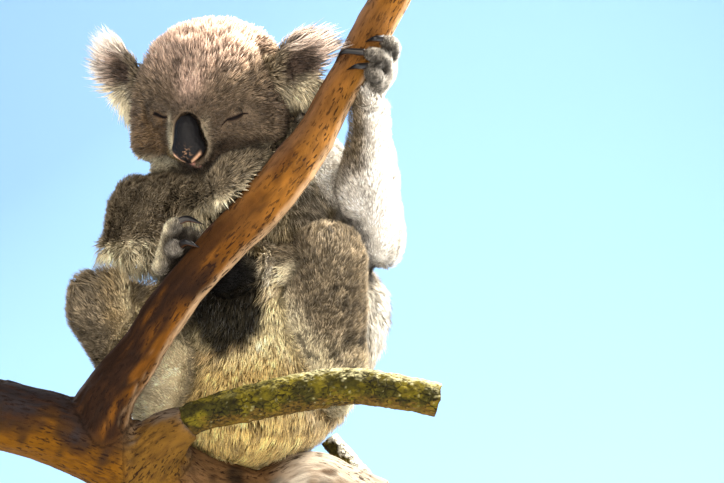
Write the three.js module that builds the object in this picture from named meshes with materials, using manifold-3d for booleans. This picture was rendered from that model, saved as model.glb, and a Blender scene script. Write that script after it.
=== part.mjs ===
// A koala asleep in the fork of a gum tree, life size, with the cut limbs that it grips and a display stand.
// Millimetres, +Z up. The koala faces -Y, so its left side is at +X. The origin is the middle of the base's
// underside. Every flesh solid reaches out to the tips of the coat.
import * as THREE from "three";
import { mergeVertices } from "three/addons/utils/BufferGeometryUtils.js";
import Module from "manifold-3d";

const wasm = await Module();
wasm.setup();

const V = (x = 0, y = 0, z = 0) => new THREE.Vector3(x, y, z);
const radians = THREE.MathUtils.degToRad;

// ---------------------------------------------------------------- driving dimensions

const GAP = 0.3; // between neighbouring pieces
const EYE_RADIUS = 8.5;
const CLAW_RADIUS = 4.3;
const DIGIT_RADIUS = 9.4;
const BASE_RADIUS = 180;
const BASE_THICKNESS = 22;
const ROD_RADIUS = 8;

// The skull's middle, and how far the sleeping head is turned, bowed and rolled, in degrees.
const SKULL = V(-27, -44, 709);
const HEAD_TURN = -19;
const HEAD_BOW = 36;
const HEAD_ROLL = 1.5;

// Joints of the body, at the middle of each limb.
const NECK = V(4, 24, 630);
const CHEST = V(14, 26, 578);
const BELLY = V(36, 30, 478);
const RUMP = V(20, 26, 388);
const RUMP_TILT = 20; // degrees, its left side raised
const RIGHT = {
  shoulder: V(-100, -2, 588),
  elbow: V(-6, -84, 600),
  wrist: V(80, -42, 680),
  hip: V(-66, 10, 404),
  knee: V(-140, -66, 471),
  ankle: V(-66, -54, 474),
};
const LEFT = {
  shoulder: V(88, 42, 634),
  elbow: V(150, -6, 553),
  wrist: V(143, -58, 703),
  hip: V(80, 2, 416),
  knee: V(100, -62, 524),
  ankle: V(30, -52, 512),
};

// ---------------------------------------------------------------- forms, as distance to a surface

// The smaller of two distances, rounded where they meet over a width of k.
function softMin(a, b, k) {
  const near = Math.max(k - Math.abs(a - b), 0) / k;
  return Math.min(a, b) - (near * near * k) / 4;
}

const joined = (k, ...forms) => (p) =>
  forms.reduce((d, form) => softMin(d, form(p), k), Infinity);

// A form with a hollow in it, its rim rounded over a width of k.
const hollowed = (k, form, hollow) => (p) => -softMin(-form(p), hollow(p), k);

// An ellipsoid; turn is a quaternion.
function ovoid(centre, radii, turn = new THREE.Quaternion()) {
  const back = turn.clone().invert();
  const q = V();
  return (p) => {
    q.subVectors(p, centre).applyQuaternion(back).divide(radii);
    const scaled = q.length();
    return (scaled * (scaled - 1)) / q.divide(radii).length();
  };
}

// A limb's length between two joints, tapering from one radius to the other.
function tapered(a, b, radiusA, radiusB) {
  const along = V().subVectors(b, a);
  const q = V();
  return (p) => {
    const share = THREE.MathUtils.clamp(
      q.subVectors(p, a).dot(along) / along.lengthSq(), 0, 1);
    q.copy(a).addScaledVector(along, share);
    return q.distanceTo(p) - THREE.MathUtils.lerp(radiusA, radiusB, share);
  };
}

// A form that is drawn in another frame.
function placed(matrix, form) {
  const back = matrix.clone().invert();
  const q = V();
  return (p) => form(q.copy(p).applyMatrix4(back));
}

// ---------------------------------------------------------------- solids

function closed(geometry) {
  const bare = geometry.clone();
  bare.deleteAttribute("normal");
  bare.deleteAttribute("uv");
  return mergeVertices(bare, 1e-3);
}

function solidOf(geometry) {
  const merged = closed(geometry);
  return new wasm.Manifold(
    new wasm.Mesh({
      numProp: 3,
      vertProperties: merged.attributes.position.array,
      triVerts: new Uint32Array(merged.index.array),
    }),
  );
}

function geometryOf(solid) {
  const { numProp, vertProperties, triVerts } = solid.getMesh();
  const geometry = new THREE.BufferGeometry();
  const data = new THREE.InterleavedBuffer(vertProperties, numProp);
  geometry.setAttribute("position", new THREE.InterleavedBufferAttribute(data, 3, 0));
  geometry.setIndex(new THREE.BufferAttribute(triVerts, 1));
  const flat = geometry.toNonIndexed();
  flat.computeVertexNormals();
  return flat;
}

// A faceted ball whose corners are moved along their rays until they meet a form's surface.
// The rays start at centre, and spread along stretch so that a long form gets even facets.
const RAY_STEP = 3;
const RAY_LIMIT = 260;
function wrapped({ centre, form, detail, stretch = V() }, grow = 0) {
  const ball = closed(new THREE.IcosahedronGeometry(1, detail));
  const corner = ball.attributes.position;
  const along = stretch.clone().normalize();
  const ray = V();
  const p = V();
  const outside = (reach) => form(p.copy(centre).addScaledVector(ray, reach)) > 0;
  for (let i = 0; i < corner.count; i++) {
    ray.fromBufferAttribute(corner, i);
    ray.addScaledVector(along, ray.dot(along) * stretch.length()).normalize();
    let inner = 0;
    let outer = RAY_STEP;
    while (outer < RAY_LIMIT && !outside(outer)) {
      inner = outer;
      outer += RAY_STEP;
    }
    for (let halving = 0; halving < 12; halving++) {
      const middle = (inner + outer) / 2;
      if (outside(middle)) outer = middle;
      else inner = middle;
    }
    p.copy(centre).addScaledVector(ray, inner + grow);
    corner.setXYZ(i, p.x, p.y, p.z);
  }
  return solidOf(ball);
}

// A cylinder bent along a curve. radiusAt(share, angle) is its radius there.
function bent(curve, radiusAt, { steps, sides, grow = 0 }) {
  const tube = new THREE.CylinderGeometry(1, 1, 1, sides, steps);
  const frames = curve.computeFrenetFrames(steps, false);
  const points = curve.getSpacedPoints(steps);
  const corner = tube.attributes.position;
  const p = V();
  for (let i = 0; i < corner.count; i++) {
    const share = 0.5 - corner.getY(i);
    const step = Math.round(share * steps);
    const onAxis = Math.hypot(corner.getX(i), corner.getZ(i)) < 0.5;
    const angle = Math.atan2(corner.getX(i), corner.getZ(i));
    const radius = onAxis ? 0 : radiusAt(share, angle) + grow;
    p.copy(points[step])
      .addScaledVector(frames.normals[step], radius * Math.cos(angle))
      .addScaledVector(frames.binormals[step], -radius * Math.sin(angle));
    if (step === 0) p.addScaledVector(frames.tangents[0], -grow);
    if (step === steps) p.addScaledVector(frames.tangents[steps], grow);
    corner.setXYZ(i, p.x, p.y, p.z);
  }
  return solidOf(tube);
}

// ---------------------------------------------------------------- the gum tree's fork

// A cut length of limb: where its middle runs, and its radius at even steps along it.
// Bark swells and dips a little, as a share of the radius.
const BARK_SWELL = 0.035;
function treeLimb(points, radii, { steps, sides }) {
  const curve = new THREE.CatmullRomCurve3(points, false, "centripetal");
  const plain = (share) => {
    const at = Math.min(share, 0.9999) * (radii.length - 1);
    const low = Math.floor(at);
    return THREE.MathUtils.lerp(radii[low], radii[low + 1], at - low);
  };
  const radiusAt = (share, angle) =>
    plain(share) * (1 + BARK_SWELL * Math.sin(2 * angle + 9 * share) * Math.cos(17 * share));
  const make = (grow = 0) => bent(curve, radiusAt, { steps, sides, grow });
  return { curve, plain, make };
}

const trunkLimb = treeLimb(
  [V(-262, -90, 358), V(-226, -85, 350), V(-188, -80, 340), V(-139, -68, 322), V(-88, -44, 302),
   V(-36, -16, 280), V(27, 4, 268), V(80, 14, 289), V(118, 18, 276), V(154, 20, 262)],
  [36, 36, 38, 41, 42, 38, 36, 37, 35, 33], { steps: 11, sides: 10 });
const risingLimb = treeLimb(
  [V(-146, -70, 326), V(-131, -82, 371), V(-94, -92, 423), V(-60, -97, 476), V(-15, -97, 529),
   V(34, -92, 584), V(77, -85, 640), V(107, -79, 697), V(137, -75, 754), V(168, -74, 812), V(178, -74, 838)],
  [38, 28, 23, 23, 24, 26, 25, 21, 20, 22, 22], { steps: 15, sides: 8 });
const collar = treeLimb(
  [V(-104, -52, 304), V(-82, -74, 322), V(-62, -92, 338), V(-44, -98, 346)],
  [36, 33, 27, 18], { steps: 3, sides: 8 });
const mossyLimb = treeLimb(
  [V(-66, -88, 338), V(-32, -99, 353), V(18, -103, 365), V(72, -106, 376),
   V(124, -106, 383), V(176, -104, 377), V(216, -99, 369)],
  [17, 17, 19, 20, 20, 19, 18, 18], { steps: 8, sides: 7 });
const brokenTwig = treeLimb(
  [V(140, 30, 288), V(127, 38, 306), V(115, 42, 324), V(101, 43, 342)],
  [16, 14, 12, 10], { steps: 3, sides: 7 });

// The place on a limb nearest to a point, with directions towards the viewer and to the right.
function gripAt(limb, point) {
  const shares = Array.from({ length: 400 }, (_, i) => i / 399);
  const share = shares.reduce((best, s) =>
    limb.curve.getPointAt(s).distanceTo(point) < limb.curve.getPointAt(best).distanceTo(point) ? s : best);
  const along = limb.curve.getTangentAt(share);
  const front = V(0, -1, 0).projectOnPlane(along).normalize();
  const side = V().crossVectors(along, front).normalize();
  const round = (angle) => V()
    .addScaledVector(front, Math.cos(radians(angle)))
    .addScaledVector(side, Math.sin(radians(angle)));
  return { middle: limb.curve.getPointAt(share), along, round, radius: limb.plain(share) };
}

// ---------------------------------------------------------------- paws

// A paw holds a limb at grip. Each place on it is [along, angle, out]: how far along the limb from the grip,
// the angle round the limb (0 at the front, 90 at the right), and how far out from the bark. A digit runs
// through its stations, and its claw arches from the last of them to the claw's tip.
const CLAW_ARCH = 6;
function pawOf(name, { grip, palm, palmRadii, wrist, wristRadius, digits }) {
  const { middle, along, round, radius } = grip;
  const stationAt = ([place, angle, out]) => middle.clone()
    .addScaledVector(along, place)
    .addScaledVector(round(angle), radius + out);
  const palmCentre = stationAt(palm);
  const outward = round(palm[1]);
  const turn = new THREE.Quaternion().setFromRotationMatrix(
    new THREE.Matrix4().makeBasis(outward, V().crossVectors(along, outward), along));
  const form = joined(
    10,
    ovoid(palmCentre, palmRadii, turn),
    tapered(palmCentre, wrist, palmRadii.x * 0.8, wristRadius),
  );
  const digitRadius = (share) => DIGIT_RADIUS * (1.05 - 0.15 * share) * (share > 0.99 ? 0.6 : 1);
  const bulk = (grow = 0) => digits.reduce(
    (whole, { stations }) => {
      const curve = new THREE.CatmullRomCurve3(stations.map(stationAt));
      return whole.add(bent(curve, digitRadius, { steps: 2, sides: 5, grow }));
    },
    wrapped({ centre: palmCentre, form, detail: 1 }, grow));
  const claws = digits.filter(({ tip }) => tip).map(({ stations, tip }, i) => {
    const root = stations.at(-1);
    const crest = root.map((value, axis) => (value + tip[axis]) / 2);
    crest[2] += CLAW_ARCH;
    const curve = new THREE.CatmullRomCurve3([root, crest, tip].map(stationAt));
    const make = (grow = 0) =>
      bent(curve, (share) => CLAW_RADIUS * (1 - 0.8 * share * share), { steps: 3, sides: 4, grow });
    return { name: `claw_${name}_${i + 1}`, make, colour: "claw" };
  });
  return { name, form, make: bulk, claws, colour: "paw" };
}

const handLeft = pawOf("hand_left", {
  grip: gripAt(risingLimb, V(130, -76, 739)),
  palm: [4, 112, 13], palmRadii: V(14, 18, 24), wrist: LEFT.wrist, wristRadius: 18,
  digits: [
    { stations: [[24, 100, 9], [29, 66, 12], [31, 34, 11]], tip: [20, 4, 1] },
    { stations: [[8, 100, 10], [12, 60, 13], [7, 14, 10]], tip: [-13, -62, -1] },
    { stations: [[-10, 100, 11], [-8, 66, 12], [-4, 34, 9]], tip: [-17, -4, 0] },
    { stations: [[14, 120, 12], [18, 150, 10], [16, 180, 9]], tip: [8, 215, 1] },
    { stations: [[-8, 120, 12], [-8, 150, 10], [-10, 180, 9]], tip: [-16, 215, 1] },
  ],
});
const handRight = pawOf("hand_right", {
  grip: gripAt(risingLimb, V(99, -79, 682)),
  palm: [0, 200, 14], palmRadii: V(14, 19, 25), wrist: RIGHT.wrist, wristRadius: 19,
  digits: [
    { stations: [[20, 212, 12], [20, 194, 12], [16, 176, 9]], tip: [6, 146, 1] },
    { stations: [[3, 212, 12], [3, 192, 12], [0, 174, 9]], tip: [-10, 144, 1] },
    { stations: [[-15, 212, 12], [-15, 194, 12], [-18, 176, 9]], tip: [-28, 146, 1] },
    { stations: [[14, 206, 12], [18, 218, 10]], tip: [12, 240, 1] },
    { stations: [[-6, 206, 12], [-4, 218, 10]], tip: [-10, 240, 1] },
  ],
});
const footRight = pawOf("foot_right", {
  grip: gripAt(risingLimb, V(-22, -97, 521)),
  palm: [-18, -112, 17], palmRadii: V(14, 18, 28), wrist: RIGHT.ankle, wristRadius: 22,
  digits: [
    { stations: [[-26, -98, 18], [-12, -88, 26], [4, -76, 28]], tip: [19, -72, 7] },
    { stations: [[-34, -100, 13], [-26, -84, 12], [-14, -68, 11]], tip: [-3, -36, -1] },
    { stations: [[0, -120, 16], [12, -140, 12]], tip: [12, -172, 1] },
    { stations: [[-18, -124, 14], [-10, -148, 11]], tip: [-10, -180, 1] },
    { stations: [[-38, -112, 13], [-46, -84, 11]] },
  ],
});
const footLeft = pawOf("foot_left", {
  grip: gripAt(risingLimb, V(-12, -97, 532)),
  palm: [-8, 152, 15], palmRadii: V(15, 20, 28), wrist: LEFT.ankle, wristRadius: 22,
  digits: [
    { stations: [[18, 165, 12], [20, 196, 9]], tip: [14, 232, 1] },
    { stations: [[4, 165, 12], [5, 198, 9]], tip: [-2, 234, 1] },
    { stations: [[-12, 165, 12], [-11, 196, 9]], tip: [-18, 232, 1] },
    { stations: [[-27, 165, 12], [-27, 192, 9]], tip: [-34, 228, 1] },
    { stations: [[-14, 150, 12], [-10, 124, 8]] },
  ],
});
const paws = [handLeft, handRight, footRight, footLeft];

// ---------------------------------------------------------------- head

// The head is drawn upright and facing -Y, about the skull's middle, then turned, bowed and rolled.
const headFrame = new THREE.Matrix4().compose(
  SKULL,
  new THREE.Quaternion()
    .setFromAxisAngle(V(0, 0, 1), radians(HEAD_TURN))
    .multiply(new THREE.Quaternion().setFromAxisAngle(V(1, 0, 0), radians(HEAD_BOW)))
    .multiply(new THREE.Quaternion().setFromAxisAngle(V(0, 1, 0), radians(HEAD_ROLL))),
  V(1, 1, 1),
);
const headTurn = new THREE.Quaternion().setFromRotationMatrix(headFrame);
const onHead = (x, y, z) => V(x, y, z).applyMatrix4(headFrame);

const NOSE_TILT = 24; // degrees that the pad's top leans back
const EYE_SLANT = 24; // degrees that the closed lids slope down to the nose
const EYE_PLACE = V(42, -52, -1);
const EAR_PLACE = V(107, 8, 22);
const EAR_RADII = V(47, 21, 56);
const EAR_FRINGE_PLACE = V(88, 12, 46); // the long hair above the ear's root, that meets the crown
const EAR_FRINGE_RADII = V(36, 18, 31);

const mirrored = (side, v) => V(side * v.x, v.y, v.z);
const tiltedBack = new THREE.Quaternion().setFromAxisAngle(V(1, 0, 0), radians(-NOSE_TILT));

const noseForm = placed(headFrame, joined(
  6,
  ovoid(V(-1.5, -80, -6), V(14.5, 13, 22), tiltedBack),
  ovoid(V(-1.5, -84, -22), V(19.5, 14, 17), tiltedBack),
));
const skullForm = placed(headFrame, joined(
  26,
  ovoid(V(0, 10, 8), V(90, 78, 78)),
  ovoid(V(52, -20, -36), V(46, 42, 42)),
  ovoid(V(-52, -20, -36), V(46, 42, 42)),
  ovoid(V(0, -52, -28), V(33, 38, 30)),
  tapered(V(0, -44, 16), V(0, -66, -10), 24, 19),
  ovoid(V(0, -58, -46), V(22, 24, 16)),
  ovoid(V(0, -20, -46), V(46, 44, 30)),
));

function earForm(side) {
  const outward = new THREE.Quaternion()
    .setFromAxisAngle(V(0, 0, 1), radians(side * 28))
    .multiply(new THREE.Quaternion().setFromAxisAngle(V(0, 1, 0), radians(side * 12)));
  const centre = mirrored(side, EAR_PLACE);
  const cup = centre.clone().add(V(side * 2, -24, 0).applyQuaternion(outward));
  const fringe = ovoid(mirrored(side, EAR_FRINGE_PLACE), EAR_FRINGE_RADII, outward);
  const fan = joined(12, ovoid(centre, EAR_RADII, outward), fringe);
  return placed(headFrame, hollowed(8, fan, ovoid(cup, V(27, 16, 30), outward)));
}

// ---------------------------------------------------------------- flesh

// Every flesh part has a form of its own. All forms together make one body, rounded where they meet. A part
// has the body's surface where its own form is the nearest, and keeps to its own form inside its neighbours.
const rumpTurn = new THREE.Quaternion().setFromAxisAngle(V(0, 1, 0), radians(-RUMP_TILT));
const own = {
  neck: tapered(onHead(0, 22, -28), NECK, 62, 76),
  trunk: joined(
    40,
    ovoid(CHEST, V(104, 92, 88)),
    ovoid(BELLY, V(136, 104, 108)),
    ovoid(RUMP, V(112, 104, 84), rumpTurn),
    ovoid(V(18, 82, 540), V(84, 52, 108)),
  ),
  upper_arm_right: joined(
    24,
    tapered(RIGHT.shoulder, RIGHT.elbow, 50, 33),
    ovoid(V(-97, -14, 549), V(60, 46, 28)),
  ),
  forearm_right: tapered(RIGHT.elbow, RIGHT.wrist, 37, 19),
  upper_arm_left: tapered(LEFT.shoulder, LEFT.elbow, 56, 28),
  forearm_left: joined(20, tapered(LEFT.elbow, LEFT.wrist, 37, 22), ovoid(V(140, -24, 612), V(30, 34, 48))),
  thigh_right: tapered(RIGHT.hip, RIGHT.knee, 72, 46),
  shin_right: tapered(RIGHT.knee, RIGHT.ankle, 36, 26),
  thigh_left: tapered(LEFT.hip, LEFT.knee, 68, 48),
  shin_left: tapered(LEFT.knee, LEFT.ankle, 40, 26),
  head: skullForm,
};
const FLESH_ROUNDING = 14;
const flesh = joined(FLESH_ROUNDING, ...Object.values(own), ...paws.map((paw) => paw.form));

const middleOf = (a, b) => a.clone().lerp(b, 0.5);
const nearestOf = (forms) => (p) => Math.min(...forms.map((form) => form(p)));
function withinBody(form) {
  const others = nearestOf([...Object.values(own), ...paws.map((paw) => paw.form)].filter((f) => f !== form));
  return (p) => flesh(p) + Math.max(0, form(p) - others(p));
}
const fleshPart = (name, centre, detail, stretch, colour = "fur") => {
  const form = withinBody(own[name]);
  return { name, colour, make: (grow = 0) => wrapped({ centre, form, detail, stretch }, grow) };
};
const boneStretch = (a, b, amount) => V().subVectors(b, a).normalize().multiplyScalar(amount);

// An eyeball behind its closed lids, and the slit that the lids leave.
function eyeOf(name, side) {
  const place = mirrored(side, EYE_PLACE).applyMatrix4(headFrame);
  const lids = new THREE.Quaternion().copy(headTurn)
    .multiply(new THREE.Quaternion().setFromAxisAngle(V(0, 1, 0), radians(-side * EYE_SLANT)));
  const make = (grow = 0) => solidOf(
    new THREE.IcosahedronGeometry(EYE_RADIUS + grow, 1).translate(place.x, place.y, place.z));
  const slit = () => solidOf(
    new THREE.SphereGeometry(1, 6, 4).scale(14, 20, 1.8)
      .applyQuaternion(lids).translate(place.x, place.y, place.z));
  return { name, make, slit, colour: "eye" };
}
const eyes = [eyeOf("eye_left", 1), eyeOf("eye_right", -1)];

const nose = {
  name: "nose",
  colour: "nose",
  make: (grow = 0) => wrapped({ centre: onHead(0, -80, -12), form: noseForm, detail: 2 }, grow),
};
const ears = [["ear_left", 1], ["ear_right", -1]].map(([name, side]) => ({
  name,
  colour: "pale",
  make: (grow = 0) => wrapped(
    { centre: onHead(side * EAR_PLACE.x, EAR_PLACE.y + 8, EAR_PLACE.z), form: earForm(side), detail: 2 }, grow),
}));

// ---------------------------------------------------------------- display stand

const base = {
  name: "stand_base",
  colour: "stand",
  make: () => {
    const edge = 3; // the rounded rim, as a bevel
    const profile = [
      [0, 0], [BASE_RADIUS, 0], [BASE_RADIUS, BASE_THICKNESS - edge], [BASE_RADIUS - edge, BASE_THICKNESS],
      [0, BASE_THICKNESS],
    ].map(([r, z]) => new THREE.Vector2(r, z));
    return solidOf(new THREE.LatheGeometry(profile, 30).rotateX(Math.PI / 2));
  },
};
const rodAt = (name, x) => {
  const shares = Array.from({ length: 200 }, (_, i) => trunkLimb.curve.getPointAt(i / 199));
  const top = shares.reduce((best, p) => (Math.abs(p.x - x) < Math.abs(best.x - x) ? p : best));
  const foot = BASE_THICKNESS + GAP;
  const length = top.z - foot;
  return {
    name,
    colour: "steel",
    make: () => solidOf(
      new THREE.CylinderGeometry(ROD_RADIUS, ROD_RADIUS, length, 12)
        .rotateX(Math.PI / 2).translate(top.x, top.y, foot + length / 2)),
  };
};

// ---------------------------------------------------------------- assembly

// Each piece is cut back by those before it in this list, so that neighbours meet with a gap and none overlap.
const limbPiece = (name, limb, colour) => ({ name, colour, make: limb.make });
const order = [
  limbPiece("perch_trunk_limb", trunkLimb, "bark"),
  limbPiece("perch_rising_limb", risingLimb, "bark"),
  limbPiece("perch_collar", collar, "bark"),
  limbPiece("perch_mossy_limb", mossyLimb, "moss"),
  limbPiece("perch_broken_twig", brokenTwig, "moss"),
  rodAt("stand_rod_left", 96),
  rodAt("stand_rod_right", -104),
  base,
  ...paws.flatMap((paw) => paw.claws),
  ...paws,
  ...eyes,
  nose,
  ...ears,
  fleshPart("head", onHead(0, -22, -8), 5),
  fleshPart("trunk", V(28, 40, 480), 5, V(0, 0, 0.3), "belly"),
  fleshPart("neck", middleOf(SKULL, NECK), 2),
  ...[
    ["thigh_right", RIGHT.hip, RIGHT.knee, 3, 0.4],
    ["thigh_left", LEFT.hip, LEFT.knee, 3, 0.4],
    ["shin_right", RIGHT.knee, RIGHT.ankle, 2, 0.5],
    ["shin_left", LEFT.knee, LEFT.ankle, 2, 0.5],
    ["forearm_right", RIGHT.elbow, RIGHT.wrist, 2, 0.8],
    ["forearm_left", LEFT.elbow, LEFT.wrist, 3, 0.8],
    ["upper_arm_right", RIGHT.shoulder, RIGHT.elbow, 3, 0.35],
    ["upper_arm_left", LEFT.shoulder, LEFT.elbow, 2, 0.4],
  ].map(([name, from, to, detail, stretch]) =>
    fleshPart(name, middleOf(from, to), detail, boneStretch(from, to, stretch))),
];

const material = (colour, roughness, metalness = 0) =>
  new THREE.MeshStandardMaterial({ color: colour, roughness, metalness });
const materials = {
  fur: material(0x7d746b, 0.95),
  belly: material(0x9a9184, 0.95),
  pale: material(0xcfc6b8, 0.95),
  paw: material(0x5b5753, 0.9),
  claw: material(0x1d1b1a, 0.35),
  eye: material(0x1a0f0a, 0.1),
  nose: material(0x1c1a1b, 0.6),
  bark: material(0xb58a5c, 0.85),
  moss: material(0x5d5a32, 0.95),
  steel: material(0x8c8c8c, 0.3, 1),
  stand: material(0x1c1815, 0.45),
};

const koala = new THREE.Group();
koala.name = "koala_on_perch";

const largest = (solid) =>
  solid.decompose().reduce((a, b) => (b.volume() > a.volume() ? b : a));
const blades = [];
for (const piece of order) {
  let solid = piece.make();
  for (const blade of blades) solid = solid.subtract(blade);
  if (piece.name === "head")
    for (const eye of eyes) solid = solid.subtract(eye.slit());
  const mesh = new THREE.Mesh(geometryOf(largest(solid)), materials[piece.colour]);
  mesh.name = piece.name;
  koala.add(mesh);
  blades.push(piece.make(GAP));
}

export default koala;
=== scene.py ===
"""A koala asleep in the fork of a gum tree, on cut lengths of the limbs, held by a plain display stand.

One skin lies inside the solids of flesh, by the depth of the coat, and the coat grows on it as tufts of
mesh. The eyes, nose and claws are pieces of their own. Lengths below are in millimetres until a piece is
made, and +Z is up. The koala faces -Y.
"""

import math

import bmesh
import bpy
import numpy as np
from mathutils import Matrix, Vector
from mathutils.bvhtree import BVHTree
from mathutils.kdtree import KDTree


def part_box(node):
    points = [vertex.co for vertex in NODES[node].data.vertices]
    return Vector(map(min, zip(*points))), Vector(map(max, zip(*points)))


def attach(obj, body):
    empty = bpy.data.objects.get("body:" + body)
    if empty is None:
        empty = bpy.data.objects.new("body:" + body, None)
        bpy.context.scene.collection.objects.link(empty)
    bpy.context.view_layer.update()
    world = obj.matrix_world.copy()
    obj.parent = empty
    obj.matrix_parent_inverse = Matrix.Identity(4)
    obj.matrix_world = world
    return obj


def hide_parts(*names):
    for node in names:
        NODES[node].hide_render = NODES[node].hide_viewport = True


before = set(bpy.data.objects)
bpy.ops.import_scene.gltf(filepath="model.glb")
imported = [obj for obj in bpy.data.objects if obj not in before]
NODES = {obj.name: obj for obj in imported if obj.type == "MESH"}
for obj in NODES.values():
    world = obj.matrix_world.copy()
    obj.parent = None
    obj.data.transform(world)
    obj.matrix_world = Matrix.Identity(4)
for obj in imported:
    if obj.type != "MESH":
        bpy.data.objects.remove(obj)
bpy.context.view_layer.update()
rng = np.random.default_rng(11)
MM = 0.001  # a millimetre in metres, as Blender measures

# ---------------------------------------------------------------- sizes, in millimetres and degrees

SKULL = np.array([-27.0, -44.0, 709.0])
HEAD_TURN, HEAD_BOW, HEAD_ROLL = -19.0, 36.0, 1.5
NECK = np.array([4.0, 24.0, 630.0])
EYE_RADIUS = 8.5
EYE_PLACE = np.array([42.0, -52.0, -1.0])
# How each closed eye lies in the head's frame: the way it faces, the way its lids meet, that line's height
# and bend, its middle and half its length, half the gap left open and how deep the gap is.
EYES = {
    1: dict(facing=(0.424, -0.905, -0.036), across=(0.900, 0.416, 0.132), line=(0.0, -0.013), middle=-2.0,
            half=17.5, gape=0.35, depth=1.0),
    -1: dict(facing=(0.113, -0.784, 0.610), across=(0.909, -0.167, -0.383), line=(0.75, 0.0085), middle=3.0,
             half=13.0, gape=0.9, depth=1.1),
}
EAR_PLACE = np.array([99.0, 8.0, 24.0])
EAR_SHELL = (27.0, 33.0)  # half width and half height of the ear itself, inside its fringe
NOSE_PLACE = np.array([0.0, -84.0, -14.0])

# The limbs of the body, from the joint nearer the trunk to the one farther out.
BONES = {
    "upper_arm_right": ((-100, -2, 588), (-6, -84, 600)),
    "forearm_right": ((-6, -84, 600), (80, -42, 680)),
    "upper_arm_left": ((88, 42, 634), (150, -6, 553)),
    "forearm_left": ((150, -6, 553), (143, -58, 703)),
    "thigh_right": ((-66, 10, 404), (-140, -66, 471)),
    "shin_right": ((-140, -66, 471), (-66, -54, 474)),
    "thigh_left": ((80, 2, 416), (100, -62, 524)),
    "shin_left": ((100, -62, 524), (30, -52, 512)),
}
# How deep the coat is on each part.
COAT_DEPTH = {
    "head": 7, "neck": 12, "trunk": 12, "upper_arm_right": 11, "forearm_right": 8, "upper_arm_left": 11,
    "forearm_left": 8, "thigh_right": 11, "shin_right": 8, "thigh_left": 11, "shin_left": 8,
}

# Where one part of the body lies on another the flesh folds in by up to FOLD_DEPTH, in these shares.
FOLD_DEPTH = 9.0
FOLDS = {
    ("head", "upper_arm_right"): 1.0, ("head", "forearm_right"): 1.0, ("head", "upper_arm_left"): 1.0,
    ("head", "forearm_left"): 1.0, ("upper_arm_right", "thigh_right"): 1.0,
    ("upper_arm_right", "trunk"): 0.9, ("forearm_right", "trunk"): 0.9,
    ("upper_arm_right", "forearm_right"): 0.45, ("forearm_left", "trunk"): 0.9,
    ("forearm_left", "thigh_left"): 1.0, ("upper_arm_left", "thigh_left"): 1.0,
    ("thigh_left", "trunk"): 0.3, ("shin_left", "trunk"): 0.8, ("shin_left", "thigh_left"): 0.5,
    ("thigh_right", "trunk"): 0.5, ("shin_right", "trunk"): 0.7, ("shin_right", "thigh_right"): 0.5,
}

SAMPLES = 2500  # places on each paw and ear that tell which skin is theirs

# ---------------------------------------------------------------- vectors and noise


def unit(a):
    return a / np.maximum(np.linalg.norm(a, axis=-1, keepdims=True), 1e-9)

def norms(a):
    return np.linalg.norm(a, axis=1)


def ramp(x, low, high):
    t = np.clip((x - low) / (high - low), 0, 1)
    return t * t * (3 - 2 * t)


def bell(*terms):
    """1 where every value is 0, and falling off past its width. Each term is a value and a width."""
    return np.exp(-sum((value / width) ** 2 for value, width in terms))


def mixed(a, b, share):
    return a + (b - a) * np.asarray(share)[..., None]


def turned(axis, degrees):
    return np.array(Matrix.Rotation(math.radians(degrees), 3, axis))


def lattice(p, size, seed=0):
    """Smooth noise from -1 to 1 with lumps about size across."""
    q = p / size
    cell = np.floor(q).astype(np.int64)
    f = q - cell
    f = f * f * (3 - 2 * f)
    total = np.zeros(len(p))
    for corner in np.ndindex(2, 2, 2):
        i, j, k = (cell + corner).T
        h = (i * 374761393 + j * 668265263 + k * 1442695041 + seed * 974634777) & 0xFFFFFFFF
        h = ((h ^ (h >> 13)) * 1274126177) & 0xFFFFFFFF
        value = ((h ^ (h >> 16)) & 0xFFFF) / 32767.5 - 1
        weight = np.prod(np.where(corner, f, 1 - f), axis=1)
        total += value * weight
    return total


def fractal(p, size, octaves=3, seed=0):
    return sum(lattice(p, size / 2**o, seed + o) / 2**o for o in range(octaves))


def linear(colour):
    """A colour as people write it, in linear light. One that is an array is linear already."""
    if isinstance(colour, np.ndarray):
        return colour
    c = np.array([int(colour[i : i + 2], 16) / 255 for i in (0, 2, 4)])
    return np.where(c <= 0.04045, c / 12.92, ((c + 0.055) / 1.055) ** 2.4)


def plain(count, colour):
    return np.tile(linear(colour), (count, 1))


def painted(base, *coats):
    """Colours, with coats laid over them in order. Each coat is its colour and its share of every place."""
    for colour, share in coats:
        base = mixed(base, linear(colour), share)
    return base


# ---------------------------------------------------------------- meshes as arrays of corners and triangles


def joined(*meshes):
    corners, triangles, base = [], [], 0
    for c, t in meshes:
        corners.append(c)
        triangles.append(t + base)
        base += len(c)
    return np.vstack(corners), np.vstack(triangles)


def edges_of(triangles, count):
    pairs = np.vstack([triangles[:, [0, 1]], triangles[:, [1, 2]], triangles[:, [2, 0]]]).astype(np.int64)
    pairs.sort(axis=1)
    keys = np.unique(pairs[:, 0] * count + pairs[:, 1])
    return keys // count, keys % count


def spread(values, edges, rounds, share=0.5):
    """Each corner's value moved towards the mean of its neighbours'."""
    a, b = edges
    flat = values.reshape(len(values), -1).astype(float)
    n = len(flat)
    count = np.maximum(np.bincount(a, minlength=n) + np.bincount(b, minlength=n), 1)
    for _ in range(rounds):
        mean = np.stack([
            np.bincount(a, flat[b, c], n) + np.bincount(b, flat[a, c], n) for c in range(flat.shape[1])
        ], axis=1) / count[:, None]
        flat = flat + share * (mean - flat)
    return flat.reshape(values.shape)


def smoothed(corners, edges, rounds):
    """Smoothing that keeps the volume."""
    for _ in range(rounds):
        corners = spread(corners, edges, 1, 0.5)
        corners = spread(corners, edges, 1, -0.52)
    return corners


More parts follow.
